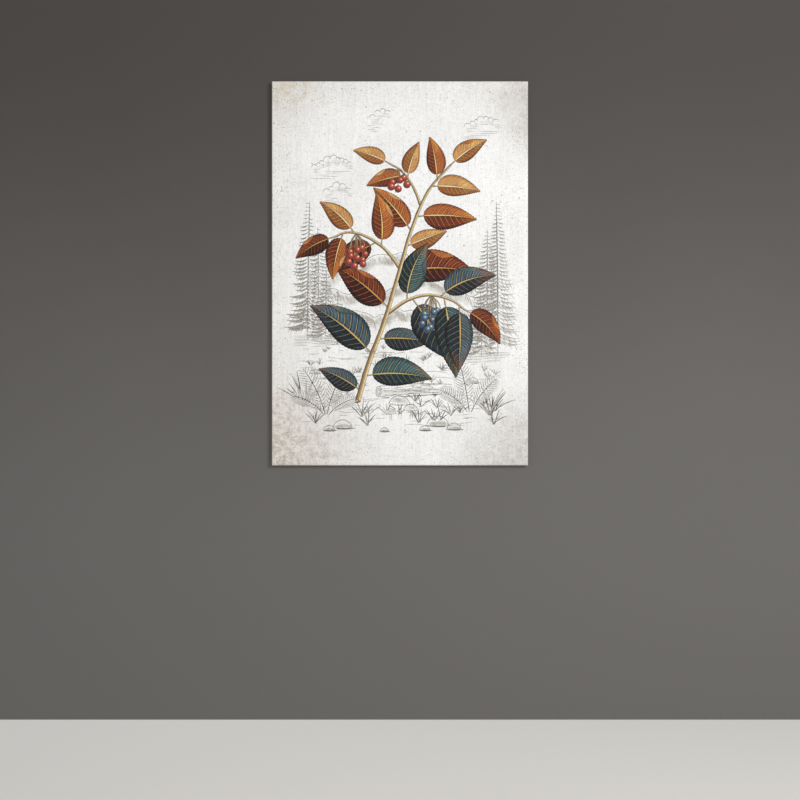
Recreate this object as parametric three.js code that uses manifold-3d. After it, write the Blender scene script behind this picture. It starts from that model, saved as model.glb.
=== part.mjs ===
// Stretched canvas wall picture: a sheet of canvas wrapped round a wooden stretcher frame.
//
// Millimetres, +X right, +Y back towards the wall, +Z up. The picture side faces -Y.
// The origin lies on the wall plane, midway between the two sawtooth hangers, at the height of
// the notches that a nail catches in.

import * as THREE from 'three';
import { mergeVertices } from 'three/addons/utils/BufferGeometryUtils.js';
import Module from 'manifold-3d';

const wasm = await Module();
wasm.setup();

// ---------------------------------------------------------------- driving dimensions

const WIDTH = 1000; // over the cloth
const HEIGHT = 1500; // over the cloth
const GAP = 0.3; // between pieces that touch

const CLOTH = 0.6; // thickness of the canvas
const EDGE_RADIUS = 6; // outside of the cloth, round the front edges
const BACK_RADIUS = 1.5; // outside of the cloth, round the back edges
const HEM_WIDTH = 27; // cloth turned onto the back of the bars
const ARC_STEPS = 6;

const BAR_WIDTH = 45;
const BAR_DEPTH = 25;
const LIP_WIDTH = 9; // raised outer lip, the only wood that the front of the cloth touches
const LIP_STEP = 1.5; // the lip's inner shoulder
const FACE_FALL = 4; // how far the front face has dropped back at the inner edge
const ARRIS = 1.5; // planed-off corners

const TONGUE_DEPTH = 8; // thickness of the corner tongue, along Y
const TONGUE_NEAR = 10; // from the outer edge to the tongue's near side
const TONGUE_FAR = 38; // from the outer edge to the tongue's far side
const TONGUE_END = 8; // wood left outside the end of the tongue

const KEY_THICK = 4;
const KEY_LENGTH = 42;
const KEY_BROAD = 22;
const KEY_NARROW = 11;
const KEY_SET_IN = 18; // how far a key reaches into its bar
const KEY_OFFSET = 2.6; // upright and level keys sit this far before and behind mid-depth
const KEY_START = 3; // from the corner square to the key

const BRACE_WIDTH = 40;
const BRACE_DEPTH = 15;
const BRACE_INSET = 1; // behind this the braces lie, measured from the back of the bars
const TENON_WIDTH = 28;
const TENON_DEPTH = 7;
const TENON_LENGTH = 14;

const HANGER_SPACING = 600;
const HANGER_LENGTH = 48;
const HANGER_HEIGHT = 12;
const HANGER_THICK = 1;
const HANGER_RISE = 1.6; // the toothed middle stands off the wood by this much
const HANGER_FOOT = 9; // flat length at each end
const HANGER_RAMP = 2;
const TOOTH_PITCH = 3;
const TOOTH_DEPTH = 2;
const TOOTH_COUNT = 8;
const SCREW_RADIUS = 1.4;
const SCREW_LENGTH = 11;
const SCREW_HEAD_RADIUS = 3.1;
const SCREW_HEAD_HEIGHT = 1.6;
const SCREW_HEAD_WALL = 0.64; // height of the head's straight side
const SCREW_CROWN_RADIUS = 2.17; // where the head's top begins to flatten
const SCREW_CROWN_HEIGHT = 1.36;
const SCREW_SLOT = 0.8; // width and depth of the cross slot
const SCREW_SLOT_REACH = 1.86; // from the screw's axis to the end of a slot

const BUMPER_RADIUS = 6.5;
const BUMPER_THICK = 3;
const BUMPER_EASE = 0.5; // rounded-off back edge
const BUMPER_INSET = 15; // from the outer edges to the bumper's centre

const SCREW_SIDES = 20; // flat sides that stand for a screw's or a hole's round
const BUMPER_SIDES = 32;
const MERGE_WITHIN = 1e-4; // corners nearer than this are one

// ---------------------------------------------------------------- levels worked out from them

const WALL_Y = 0;
const HEM_BACK = WALL_Y - BUMPER_THICK - GAP;
const HEM_FRONT = HEM_BACK - CLOTH;
const WOOD_BACK = HEM_FRONT - GAP;
const WOOD_FRONT = WOOD_BACK - BAR_DEPTH;
const CLOTH_BACK = WOOD_FRONT - GAP;
const CLOTH_FRONT = CLOTH_BACK - CLOTH;
const WOOD_MIDDLE = (WOOD_FRONT + WOOD_BACK) / 2;
const BRACE_MIDDLE = WOOD_BACK - BRACE_INSET - BRACE_DEPTH / 2;

const WOOD_WIDTH = WIDTH - 2 * (CLOTH + GAP);
const WOOD_HEIGHT = HEIGHT - 2 * (CLOTH + GAP);
const OPEN_WIDTH = WOOD_WIDTH - 2 * BAR_WIDTH;
const OPEN_HEIGHT = WOOD_HEIGHT - 2 * BAR_WIDTH;

const BARE_WOOD = CLOTH + GAP + BAR_WIDTH - HEM_WIDTH; // strip that the hem leaves uncovered
const HANGER_TOP_DROP = HEM_WIDTH + (BARE_WOOD - HANGER_HEIGHT) / 2;
const TOP_Z = HANGER_TOP_DROP + HANGER_HEIGHT - TOOTH_DEPTH;
const BOTTOM_Z = TOP_Z - HEIGHT;
const CENTRE_Z = (TOP_Z + BOTTOM_Z) / 2;

const HANGER_FRONT = WOOD_BACK + GAP;
const HANGER_BACK = HANGER_FRONT + HANGER_THICK;
const SCREW_OFFSET = HANGER_LENGTH / 2 - HANGER_FOOT / 2;
const HANGER_MIDDLE_Z = HANGER_HEIGHT / 2 - TOOTH_DEPTH;

// ---------------------------------------------------------------- finishes

const finishes = {
  canvas: { color: 0xe9e7e3, roughness: 0.85, metalness: 0 },
  pine: { color: 0xd9b27c, roughness: 0.6, metalness: 0 },
  beech: { color: 0xc98f5d, roughness: 0.55, metalness: 0 },
  steel: { color: 0xb9a36a, roughness: 0.35, metalness: 1 },
  zinc: { color: 0xc9cbce, roughness: 0.3, metalness: 1 },
  felt: { color: 0x4a4a4c, roughness: 0.95, metalness: 0 },
};

// ---------------------------------------------------------------- solids and booleans

/** Closed geometry with positions only, its shared corners merged. */
function closed(geometry) {
  geometry.deleteAttribute('normal');
  geometry.deleteAttribute('uv');
  return mergeVertices(geometry, MERGE_WITHIN);
}

/** A manifold solid from a three.js geometry. */
function solid(geometry) {
  const merged = closed(geometry);
  return new wasm.Manifold(
    new wasm.Mesh({
      numProp: 3,
      vertProperties: new Float32Array(merged.attributes.position.array),
      triVerts: new Uint32Array(merged.index.array),
    }),
  );
}

/** A three.js geometry from a manifold solid. */
function geometryOf(body) {
  const mesh = body.getMesh();
  const geometry = new THREE.BufferGeometry();
  geometry.setAttribute('position', new THREE.BufferAttribute(mesh.vertProperties, 3));
  geometry.setIndex(new THREE.BufferAttribute(mesh.triVerts, 1));
  geometry.computeVertexNormals();
  return geometry;
}

/** A box between two corners. */
function boxBetween(low, high) {
  const size = high.map((value, axis) => value - low[axis]);
  const geometry = new THREE.BoxGeometry(...size);
  geometry.translate(...low.map((value, axis) => value + size[axis] / 2));
  return solid(geometry);
}

/** A cylinder along Y between two levels. */
function peg(radius, x, fromY, toY, z) {
  const geometry = new THREE.CylinderGeometry(radius, radius, toY - fromY, SCREW_SIDES);
  geometry.translate(x, (fromY + toY) / 2, z);
  return solid(geometry);
}

/** An outline in the X-Z plane, pushed from one Y level to another. */
function plateXZ(outline, fromY, toY) {
  const shape = new THREE.Shape(outline.map(([x, z]) => new THREE.Vector2(x, -z)));
  const geometry = new THREE.ExtrudeGeometry(shape, { depth: toY - fromY, bevelEnabled: false });
  geometry.rotateX(-Math.PI / 2);
  geometry.translate(0, fromY, 0);
  return solid(geometry);
}

/** Points of a quarter turn about a centre, angles in quarter turns. */
function quarter(centreX, centreY, radius, fromTurn, toTurn) {
  const points = [];
  for (let step = 0; step <= ARC_STEPS; step += 1) {
    const angle = (fromTurn + ((toTurn - fromTurn) * step) / ARC_STEPS) * (Math.PI / 2);
    points.push([centreX + radius * Math.cos(angle), centreY + radius * Math.sin(angle)]);
  }
  return points;
}

// ---------------------------------------------------------------- canvas

/** The wrapped sheet: front, rounded edges, sides and the hem turned onto the back. */
function canvasGeometry() {
  const middle = WIDTH / 2;
  const outer = [
    [middle, CLOTH_FRONT],
    ...quarter(EDGE_RADIUS, CLOTH_FRONT + EDGE_RADIUS, EDGE_RADIUS, -1, -2),
    ...quarter(BACK_RADIUS, HEM_BACK - BACK_RADIUS, BACK_RADIUS, 2, 1),
    [HEM_WIDTH, HEM_BACK],
  ];
  const inner = [
    [HEM_WIDTH, HEM_FRONT],
    ...quarter(BACK_RADIUS, HEM_BACK - BACK_RADIUS, BACK_RADIUS - CLOTH, 1, 2),
    ...quarter(EDGE_RADIUS, CLOTH_FRONT + EDGE_RADIUS, EDGE_RADIUS - CLOTH, -2, -1),
    [middle, CLOTH_BACK],
  ];
  // A four-sided turning is a square tray. Half the difference of the sides then makes it oblong.
  const profile = [...outer, ...inner].map(
    ([inset, y]) => new THREE.Vector2((middle - inset) * Math.SQRT2, y),
  );
  const tray = closed(new THREE.LatheGeometry(profile, 4, Math.PI / 4));
  const position = tray.attributes.position;
  const stretch = (HEIGHT - WIDTH) / 2;
  for (let i = 0; i < position.count; i += 1) {
    // The two points on the turning axis stay in the middle.
    const z = Math.abs(position.getZ(i)) < GAP ? 0 : position.getZ(i);
    position.setZ(i, z + Math.sign(z) * stretch);
  }
  return tray;
}

// ---------------------------------------------------------------- stretcher bars

/** Section of a bar: X runs in from its outer edge and Y is the depth. */
function barSection() {
  const lipRadius = EDGE_RADIUS - CLOTH - GAP;
  const outline = [
    ...quarter(lipRadius, WOOD_FRONT + lipRadius, lipRadius, -2, -1),
    [LIP_WIDTH, WOOD_FRONT],
    [LIP_WIDTH + LIP_STEP, WOOD_FRONT + LIP_STEP],
    [BAR_WIDTH, WOOD_FRONT + FACE_FALL],
    [BAR_WIDTH, WOOD_BACK - ARRIS],
    [BAR_WIDTH - ARRIS, WOOD_BACK],
    [BACK_RADIUS, WOOD_BACK],
    [0, WOOD_BACK - BACK_RADIUS],
  ];
  return new THREE.Shape(outline.map(([x, y]) => new THREE.Vector2(x, y)));
}

/** A mitred bar in its own frame: outer edge at X = 0, running along Z about the middle. */
function plainBar(length) {
  const geometry = new THREE.ExtrudeGeometry(barSection(), { depth: length, bevelEnabled: false });
  geometry.translate(0, 0, -length / 2);
  const position = geometry.attributes.position;
  for (let i = 0; i < position.count; i += 1) {
    const mitred = length / 2 - position.getX(i) - GAP * Math.SQRT1_2;
    position.setZ(i, Math.sign(position.getZ(i)) * mitred);
  }
  return solid(geometry);
}

/** Slots for the two keys of a bar, on the given side of mid-depth. */
function keySlots(length, depthSide) {
  const middle = WOOD_MIDDLE + depthSide * KEY_OFFSET;
  const near = length / 2 - BAR_WIDTH - KEY_START;
  return [-1, 1].map((end) => {
    const levels = [end * (near + GAP), end * (near - KEY_BROAD - GAP)].sort((a, b) => a - b);
    return boxBetween(
      [BAR_WIDTH - KEY_SET_IN - GAP, middle - KEY_THICK / 2 - GAP, levels[0]],
      [BAR_WIDTH + ARRIS, middle + KEY_THICK / 2 + GAP, levels[1]],
    );
  });
}

/** The mortise at the middle of a bar's inner edge, for the end of a brace. */
function braceMortise() {
  return boxBetween(
    [BAR_WIDTH - TENON_LENGTH - GAP, BRACE_MIDDLE - TENON_DEPTH / 2 - GAP, -TENON_WIDTH / 2 - GAP],
    [BAR_WIDTH + ARRIS, BRACE_MIDDLE + TENON_DEPTH / 2 + GAP, TENON_WIDTH / 2 + GAP],
  );
}

/** A level bar, with a tongue past the mitre at each end. */
function levelBar(length) {
  const tongues = [-1, 1].map((end) => {
    const levels = [end * (length / 2 - TONGUE_END), end * (length / 2 - TONGUE_FAR - ARRIS)];
    levels.sort((a, b) => a - b);
    return boxBetween(
      [TONGUE_NEAR, WOOD_MIDDLE - TONGUE_DEPTH / 2, levels[0]],
      [TONGUE_FAR, WOOD_MIDDLE + TONGUE_DEPTH / 2, levels[1]],
    );
  });
  const whole = tongues.reduce((body, tongue) => body.add(tongue), plainBar(length));
  const cuts = [braceMortise(), ...keySlots(length, 1)];
  return cuts.reduce((body, cut) => body.subtract(cut), whole);
}

/** An upright bar, with a slot at each end that takes the level bar's tongue. */
function uprightBar(length) {
  const slots = [-1, 1].map((end) => {
    const levels = [
      end * (length / 2 - TONGUE_NEAR + GAP),
      end * (length / 2 - TONGUE_FAR - GAP),
    ].sort((a, b) => a - b);
    return boxBetween(
      [TONGUE_END - GAP, WOOD_MIDDLE - TONGUE_DEPTH / 2 - GAP, levels[0]],
      [BAR_WIDTH + ARRIS, WOOD_MIDDLE + TONGUE_DEPTH / 2 + GAP, levels[1]],
    );
  });
  const cuts = [braceMortise(), ...keySlots(length, -1), ...slots];
  return cuts.reduce((body, cut) => body.subtract(cut), plainBar(length));
}

/** The level top bar, drilled for the hanger screws. In its frame X runs down and Z runs right. */
function topBar(length) {
  const drop = TOP_Z - CLOTH - GAP - HANGER_MIDDLE_Z;
  let body = levelBar(length);
  for (const hanger of [-1, 1]) {
    for (const end of [-1, 1]) {
      const along = (hanger * HANGER_SPACING) / 2 + end * SCREW_OFFSET;
      const bottom = WOOD_BACK - SCREW_LENGTH - 2 * GAP;
      body = body.subtract(peg(SCREW_RADIUS + GAP, drop, bottom, WOOD_BACK + GAP, along));
    }
  }
  return body;
}

// ---------------------------------------------------------------- braces and keys

/** A brace along Z with a tenon at each end and half its depth cut away at the middle. */
function brace(openLength, lapSide) {
  const half = openLength / 2 - GAP;
  const section = [
    [-BRACE_WIDTH / 2 + ARRIS, -BRACE_DEPTH / 2],
    [BRACE_WIDTH / 2 - ARRIS, -BRACE_DEPTH / 2],
    [BRACE_WIDTH / 2, -BRACE_DEPTH / 2 + ARRIS],
    [BRACE_WIDTH / 2, BRACE_DEPTH / 2 - ARRIS],
    [BRACE_WIDTH / 2 - ARRIS, BRACE_DEPTH / 2],
    [-BRACE_WIDTH / 2 + ARRIS, BRACE_DEPTH / 2],
    [-BRACE_WIDTH / 2, BRACE_DEPTH / 2 - ARRIS],
    [-BRACE_WIDTH / 2, -BRACE_DEPTH / 2 + ARRIS],
  ];
  const shape = new THREE.Shape(section.map(([x, y]) => new THREE.Vector2(x, y)));
  const geometry = new THREE.ExtrudeGeometry(shape, { depth: 2 * half, bevelEnabled: false });
  geometry.translate(0, BRACE_MIDDLE, -half);
  const tenonEnd = half + TENON_LENGTH - GAP;
  const tenon = boxBetween(
    [-TENON_WIDTH / 2, BRACE_MIDDLE - TENON_DEPTH / 2, -tenonEnd],
    [TENON_WIDTH / 2, BRACE_MIDDLE + TENON_DEPTH / 2, tenonEnd],
  );
  const lapLevels = [
    BRACE_MIDDLE - (lapSide * GAP) / 2,
    BRACE_MIDDLE + lapSide * (BRACE_DEPTH / 2 + GAP),
  ].sort((a, b) => a - b);
  const lap = boxBetween(
    [-BRACE_WIDTH, lapLevels[0], -BRACE_WIDTH / 2 - GAP],
    [BRACE_WIDTH, lapLevels[1], BRACE_WIDTH / 2 + GAP],
  );
  return solid(geometry).add(tenon).subtract(lap);
}

/** A corner key in its bar's frame: narrow end in the slot, straight side towards the corner. */
function key(length, end, depthSide) {
  const tip = BAR_WIDTH - KEY_SET_IN;
  const near = length / 2 - BAR_WIDTH - KEY_START;
  const middle = WOOD_MIDDLE + depthSide * KEY_OFFSET;
  const outline = [
    [tip, end * near],
    [tip + KEY_LENGTH - ARRIS, end * near],
    [tip + KEY_LENGTH, end * (near - ARRIS)],
    [tip + KEY_LENGTH, end * (near - KEY_BROAD + ARRIS)],
    [tip + KEY_LENGTH - ARRIS, end * (near - KEY_BROAD)],
    [tip + KEY_SET_IN, end * (near - KEY_BROAD)],
    [tip, end * (near - KEY_NARROW)],
  ];
  if (end < 0) {
    outline.reverse();
  }
  return plateXZ(outline, middle - KEY_THICK / 2, middle + KEY_THICK / 2);
}

// ---------------------------------------------------------------- hangers, screws and bumpers

/** A sawtooth hanger about X = 0: flat feet, a raised middle, and notches along its lower edge. */
function hanger() {
  const front = [
    [-HANGER_LENGTH / 2, HANGER_FRONT],
    [-HANGER_LENGTH / 2 + HANGER_FOOT, HANGER_FRONT],
    [-HANGER_LENGTH / 2 + HANGER_FOOT + HANGER_RAMP, HANGER_FRONT + HANGER_RISE],
    [HANGER_LENGTH / 2 - HANGER_FOOT - HANGER_RAMP, HANGER_FRONT + HANGER_RISE],
    [HANGER_LENGTH / 2 - HANGER_FOOT, HANGER_FRONT],
    [HANGER_LENGTH / 2, HANGER_FRONT],
  ];
  const back = front.map(([x, y]) => [x, y + HANGER_THICK]).reverse();
  const shape = new THREE.Shape([...front, ...back].map(([x, y]) => new THREE.Vector2(x, y)));
  const strip = new THREE.ExtrudeGeometry(shape, { depth: HANGER_HEIGHT, bevelEnabled: false });
  strip.translate(0, 0, -TOOTH_DEPTH);
  const zigzag = [];
  const teethStart = (-TOOTH_COUNT * TOOTH_PITCH) / 2;
  for (let tooth = 0; tooth < TOOTH_COUNT; tooth += 1) {
    zigzag.push([teethStart + tooth * TOOTH_PITCH, -TOOTH_DEPTH]);
    zigzag.push([teethStart + (tooth + 0.5) * TOOTH_PITCH, 0]);
  }
  zigzag.push([-teethStart, -TOOTH_DEPTH]);
  zigzag.push([-teethStart, -2 * TOOTH_DEPTH], [teethStart, -2 * TOOTH_DEPTH]);
  const teeth = plateXZ(zigzag.reverse(), HANGER_FRONT, WALL_Y);
  let body = solid(strip).subtract(teeth);
  for (const end of [-1, 1]) {
    const x = end * SCREW_OFFSET;
    body = body.subtract(
      peg(SCREW_RADIUS + GAP, x, HANGER_FRONT - GAP, HANGER_BACK + GAP, HANGER_MIDDLE_Z),
    );
  }
  return body;
}

/** A pan-head screw with a cross slot, driven forwards into the wood. */
function screw() {
  const headFront = HANGER_BACK + GAP;
  const headBack = headFront + SCREW_HEAD_HEIGHT;
  const tip = WOOD_BACK - SCREW_LENGTH;
  const profile = [
    [0, tip],
    [SCREW_RADIUS, tip + 2 * SCREW_RADIUS],
    [SCREW_RADIUS, headFront],
    [SCREW_HEAD_RADIUS, headFront],
    [SCREW_HEAD_RADIUS, headFront + SCREW_HEAD_WALL],
    [SCREW_CROWN_RADIUS, headFront + SCREW_CROWN_HEIGHT],
    [0, headBack],
  ];
  const outline = profile.map(([x, y]) => new THREE.Vector2(x, y));
  const turned = solid(new THREE.LatheGeometry(outline, SCREW_SIDES));
  const reach = SCREW_SLOT_REACH;
  const floor = headBack - SCREW_SLOT;
  const crossArms = [
    boxBetween([-reach, floor, -SCREW_SLOT / 2], [reach, WALL_Y, SCREW_SLOT / 2]),
    boxBetween([-SCREW_SLOT / 2, floor, -reach], [SCREW_SLOT / 2, WALL_Y, reach]),
  ];
  return crossArms.reduce((body, arm) => body.subtract(arm), turned);
}

/** A felt bumper disc, its back on the wall plane. */
function bumperGeometry() {
  const front = WALL_Y - BUMPER_THICK;
  const profile = [
    [0, front],
    [BUMPER_RADIUS, front],
    [BUMPER_RADIUS, WALL_Y - BUMPER_EASE],
    [BUMPER_RADIUS - BUMPER_EASE, WALL_Y],
    [0, WALL_Y],
  ];
  const outline = profile.map(([x, y]) => new THREE.Vector2(x, y));
  return closed(new THREE.LatheGeometry(outline, BUMPER_SIDES));
}

// ---------------------------------------------------------------- scene graph

const picture = new THREE.Group();
picture.name = 'stretched_canvas_picture';

/** Adds a named mesh with a material of its own to a group. */
function place(group, name, geometry, finish) {
  const material = new THREE.MeshStandardMaterial(finishes[finish]);
  material.name = `${name}_${finish}`;
  const mesh = new THREE.Mesh(geometry, material);
  mesh.name = name;
  group.add(mesh);
  return mesh;
}

/** A group in a bar's frame: its X runs in from the outer edge on the named side. */
function sideGroup(turns, x, z) {
  const group = new THREE.Group();
  group.rotation.y = turns * (Math.PI / 2);
  group.position.set(x, 0, z);
  picture.add(group);
  return group;
}

const cloth = place(picture, 'canvas', canvasGeometry(), 'canvas');
cloth.position.z = CENTRE_Z;

const sides = [
  { name: 'left', turns: 0, x: -WOOD_WIDTH / 2, z: CENTRE_Z, length: WOOD_HEIGHT, upright: true },
  { name: 'right', turns: 2, x: WOOD_WIDTH / 2, z: CENTRE_Z, length: WOOD_HEIGHT, upright: true },
  { name: 'top', turns: 1, x: 0, z: CENTRE_Z + WOOD_HEIGHT / 2, length: WOOD_WIDTH },
  { name: 'bottom', turns: -1, x: 0, z: CENTRE_Z - WOOD_HEIGHT / 2, length: WOOD_WIDTH },
];
// The corners at the low and the high end of each bar, along Z of its own frame.
const corners = {
  left: ['bottom_left', 'top_left'],
  right: ['top_right', 'bottom_right'],
  top: ['top_left', 'top_right'],
  bottom: ['bottom_right', 'bottom_left'],
};

for (const side of sides) {
  const group = sideGroup(side.turns, side.x, side.z);
  const makers = { top: topBar, bottom: levelBar, left: uprightBar, right: uprightBar };
  place(group, `bar_${side.name}`, geometryOf(makers[side.name](side.length)), 'pine');
  const depthSide = side.upright ? -1 : 1;
  const run = side.upright ? 'upright' : 'level';
  [-1, 1].forEach((end, index) => {
    const corner = corners[side.name][index];
    place(group, `key_${corner}_${run}`, geometryOf(key(side.length, end, depthSide)), 'beech');
  });
}

const uprightBrace = place(picture, 'brace_upright', geometryOf(brace(OPEN_HEIGHT, 1)), 'pine');
uprightBrace.position.z = CENTRE_Z;
const levelBrace = place(picture, 'brace_level', geometryOf(brace(OPEN_WIDTH, -1)), 'pine');
levelBrace.position.z = CENTRE_Z;
levelBrace.rotation.y = Math.PI / 2;

for (const [sideName, side] of [['left', -1], ['right', 1]]) {
  const hangerX = (side * HANGER_SPACING) / 2;
  const plate = place(picture, `hanger_${sideName}`, geometryOf(hanger()), 'steel');
  plate.position.x = hangerX;
  for (const [endName, end] of [['outer', side], ['inner', -side]]) {
    const pin = place(picture, `hanger_screw_${sideName}_${endName}`, geometryOf(screw()), 'zinc');
    pin.position.set(hangerX + end * SCREW_OFFSET, 0, HANGER_MIDDLE_Z);
  }
  const disc = place(picture, `bumper_${sideName}`, bumperGeometry(), 'felt');
  disc.position.set(side * (WIDTH / 2 - BUMPER_INSET), 0, BOTTOM_Z + BUMPER_INSET);
}

export default picture;
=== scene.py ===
"""A stretched canvas wall picture: printed cloth on a braced pine stretcher, hung on a plain wall."""

from __future__ import annotations

import logging
import math
import random
from collections.abc import Iterable, Sequence
from dataclasses import dataclass, field
from enum import Enum

import bmesh
import bpy
from mathutils import Matrix, Vector, noise
from mathutils.geometry import delaunay_2d_cdt
from mathutils.interpolate import poly_3d_calc


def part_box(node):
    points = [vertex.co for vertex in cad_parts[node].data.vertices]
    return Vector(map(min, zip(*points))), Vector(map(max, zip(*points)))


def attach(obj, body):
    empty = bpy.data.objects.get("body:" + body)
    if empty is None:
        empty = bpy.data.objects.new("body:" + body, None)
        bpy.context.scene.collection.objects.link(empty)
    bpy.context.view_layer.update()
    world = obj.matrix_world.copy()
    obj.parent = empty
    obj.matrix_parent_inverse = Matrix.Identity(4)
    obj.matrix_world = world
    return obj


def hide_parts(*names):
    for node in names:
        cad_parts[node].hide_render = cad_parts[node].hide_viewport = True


LOG = logging.getLogger("picture")

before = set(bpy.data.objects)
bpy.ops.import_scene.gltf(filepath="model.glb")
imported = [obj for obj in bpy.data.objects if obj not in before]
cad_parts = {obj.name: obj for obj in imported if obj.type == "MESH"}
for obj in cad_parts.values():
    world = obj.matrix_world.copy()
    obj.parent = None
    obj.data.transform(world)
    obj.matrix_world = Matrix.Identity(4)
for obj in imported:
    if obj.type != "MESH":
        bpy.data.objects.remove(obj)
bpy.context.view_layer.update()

BODY = "root"
CLOTH_THICKNESS = 0.0006
DRAWING_SEED = 11
STAPLE_SEED = 5
LIT_FROM = Vector((0.7, 0.7))

Point = tuple[float, float]
Triple = tuple[float, float, float]
Paint = tuple[float, float, float, float]
Table = tuple[tuple[float, ...], ...]


def paint(code: str) -> Paint:
    """Turns a screen colour into the linear colour that a socket takes.

    Args:
        code: Six hexadecimal digits, two each for red, green and blue.

    Returns:
        Linear red, green and blue, and an alpha of one.
    """
    levels = [int(code[k : k + 2], 16) / 255 for k in (0, 2, 4)]
    linear = [c / 12.92 if c <= 0.04045 else ((c + 0.055) / 1.055) ** 2.4 for c in levels]
    return (linear[0], linear[1], linear[2], 1.0)


class Value:
    """A socket that varies over a surface: a number, a colour or a place.

    The operators add Math nodes, so they are for numbers.
    """

    def __init__(self, recipe: Recipe, socket: bpy.types.NodeSocket) -> None:
        """Keeps the socket and the recipe that it belongs to."""
        self.recipe = recipe
        self.socket = socket

    def __add__(self, other: Number) -> Value:
        """Adds a value."""
        return self.recipe.maths("ADD", self, other)

    def __sub__(self, other: Number) -> Value:
        """Takes a value away."""
        return self.recipe.maths("SUBTRACT", self, other)

    def __rsub__(self, other: float) -> Value:
        """Takes this value away from a number."""
        return self.recipe.maths("SUBTRACT", other, self)

    def __mul__(self, other: Number) -> Value:
        """Multiplies by a value."""
        return self.recipe.maths("MULTIPLY", self, other)

    def __truediv__(self, other: Number) -> Value:
        """Divides by a value."""
        return self.recipe.maths("DIVIDE", self, other)

    def __pow__(self, other: Number) -> Value:
        """Raises to a power."""
        return self.recipe.maths("POWER", self, other)

    def __abs__(self) -> Value:
        """Drops the sign."""
        return self.recipe.maths("ABSOLUTE", self)

    __radd__ = __add__
    __rmul__ = __mul__

    def fraction(self) -> Value:
        """Keeps what follows the decimal point."""
        return self.recipe.maths("FRACT", self)

    def greatest(self, other: Number) -> Value:
        """Returns the greater of two values."""
        return self.recipe.maths("MAXIMUM", self, other)

    def step(self, start: float, end: float, top: float = 1.0) -> Value:
        """Rises smoothly as this value passes from one limit to another.

        Args:
            start: Where it starts to rise.
            end: Where it is at the top, which may be below the start.
            top: How high it rises.

        Returns:
            Nothing before the start, the top past the end, and a smooth rise between.
        """
        low, high, first, last = (start, end, 0.0, top) if start < end else (end, start, top, 0.0)
        return self.recipe.read(
            "ShaderNodeMapRange",
            {"interpolation_type": "SMOOTHSTEP"},
            {"Value": self, "From Min": low, "From Max": high, "To Min": first, "To Max": last},
        )

    def moved(self, shift: Triple = (0.0, 0.0, 0.0), scale: Triple = (1.0, 1.0, 1.0)) -> Value:
        """Multiplies the three parts of a place by a scale, then adds a shift."""
        sockets = {"Vector": self, "Location": shift, "Scale": scale}
        return self.recipe.read("ShaderNodeMapping", sockets=sockets)

    def split(self) -> list[Value]:
        """Takes a place apart into its three numbers."""
        made = self.recipe.node("ShaderNodeSeparateXYZ", sockets={0: self})
        return [Value(self.recipe, output) for output in made.outputs]

    def apart(self, point: Triple) -> Value:
        """Measures how far a place is from a point."""
        sockets = {0: self, 1: point}
        return self.recipe.read("ShaderNodeVectorMath", {"operation": "DISTANCE"}, sockets, "Value")

    def grain(self, scale: float | Triple = 1.0, detail: float = 2.0, rough: float = 0.5) -> Value:
        """Reads a noise pattern at a place.

        Args:
            scale: How many waves there are to a unit, or to a unit along each axis.
            detail: How many finer layers are added.
            rough: How strong each finer layer is.

        Returns:
            A value about 0.5.
        """
        place, waves = (self.moved(scale=scale), 1.0) if isinstance(scale, tuple) else (self, scale)
        sockets = {"Vector": place, "Scale": waves, "Detail": detail, "Roughness": rough}
        return self.recipe.read("ShaderNodeTexNoise", sockets=sockets)

    def specks(self, scale: float, size: float, share: float) -> Value:
        """Scatters round dots over a plane.

        Args:
            scale: How many dots there could be to a unit.
            size: A dot's greatest radius, in units.
            share: The share of the dots that are there, from 0 to 1.

        Returns:
            One in the middle of a dot and nothing outside it.
        """
        sockets = {"Vector": self, "Scale": scale}
        cell = self.recipe.node("ShaderNodeTexVoronoi", {"voronoi_dimensions": "2D"}, sockets)
        luck = Value(self.recipe, cell.outputs["Color"]).split()[0]
        reach = luck.step(1.0 - share, 1.0, size * scale)
        return (reach - Value(self.recipe, cell.outputs["Distance"])).step(0.0, size * scale * 0.4)

    def over(self, ink: Colour, amount: Number) -> Value:
        """Lays a colour over this one, in the amount from 0 to 1."""
        return self.recipe.mix(amount, self, ink)

    def stained(self, ink: Colour, amount: Number) -> Value:
        """Darkens this colour by another, in the amount from 0 to 1."""
        return self.recipe.mix(amount, self, ink, "MULTIPLY")

    def bump(self, distance: float, strength: float = 1.0) -> Value:
        """Turns a relief into a shader's Normal, where a relief of one is the distance high."""
        sockets = {"Strength": strength, "Distance": distance, "Height": self}
        return self.recipe.read("ShaderNodeBump", sockets=sockets)


Number = Value | float
Colour = Value | str


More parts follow.
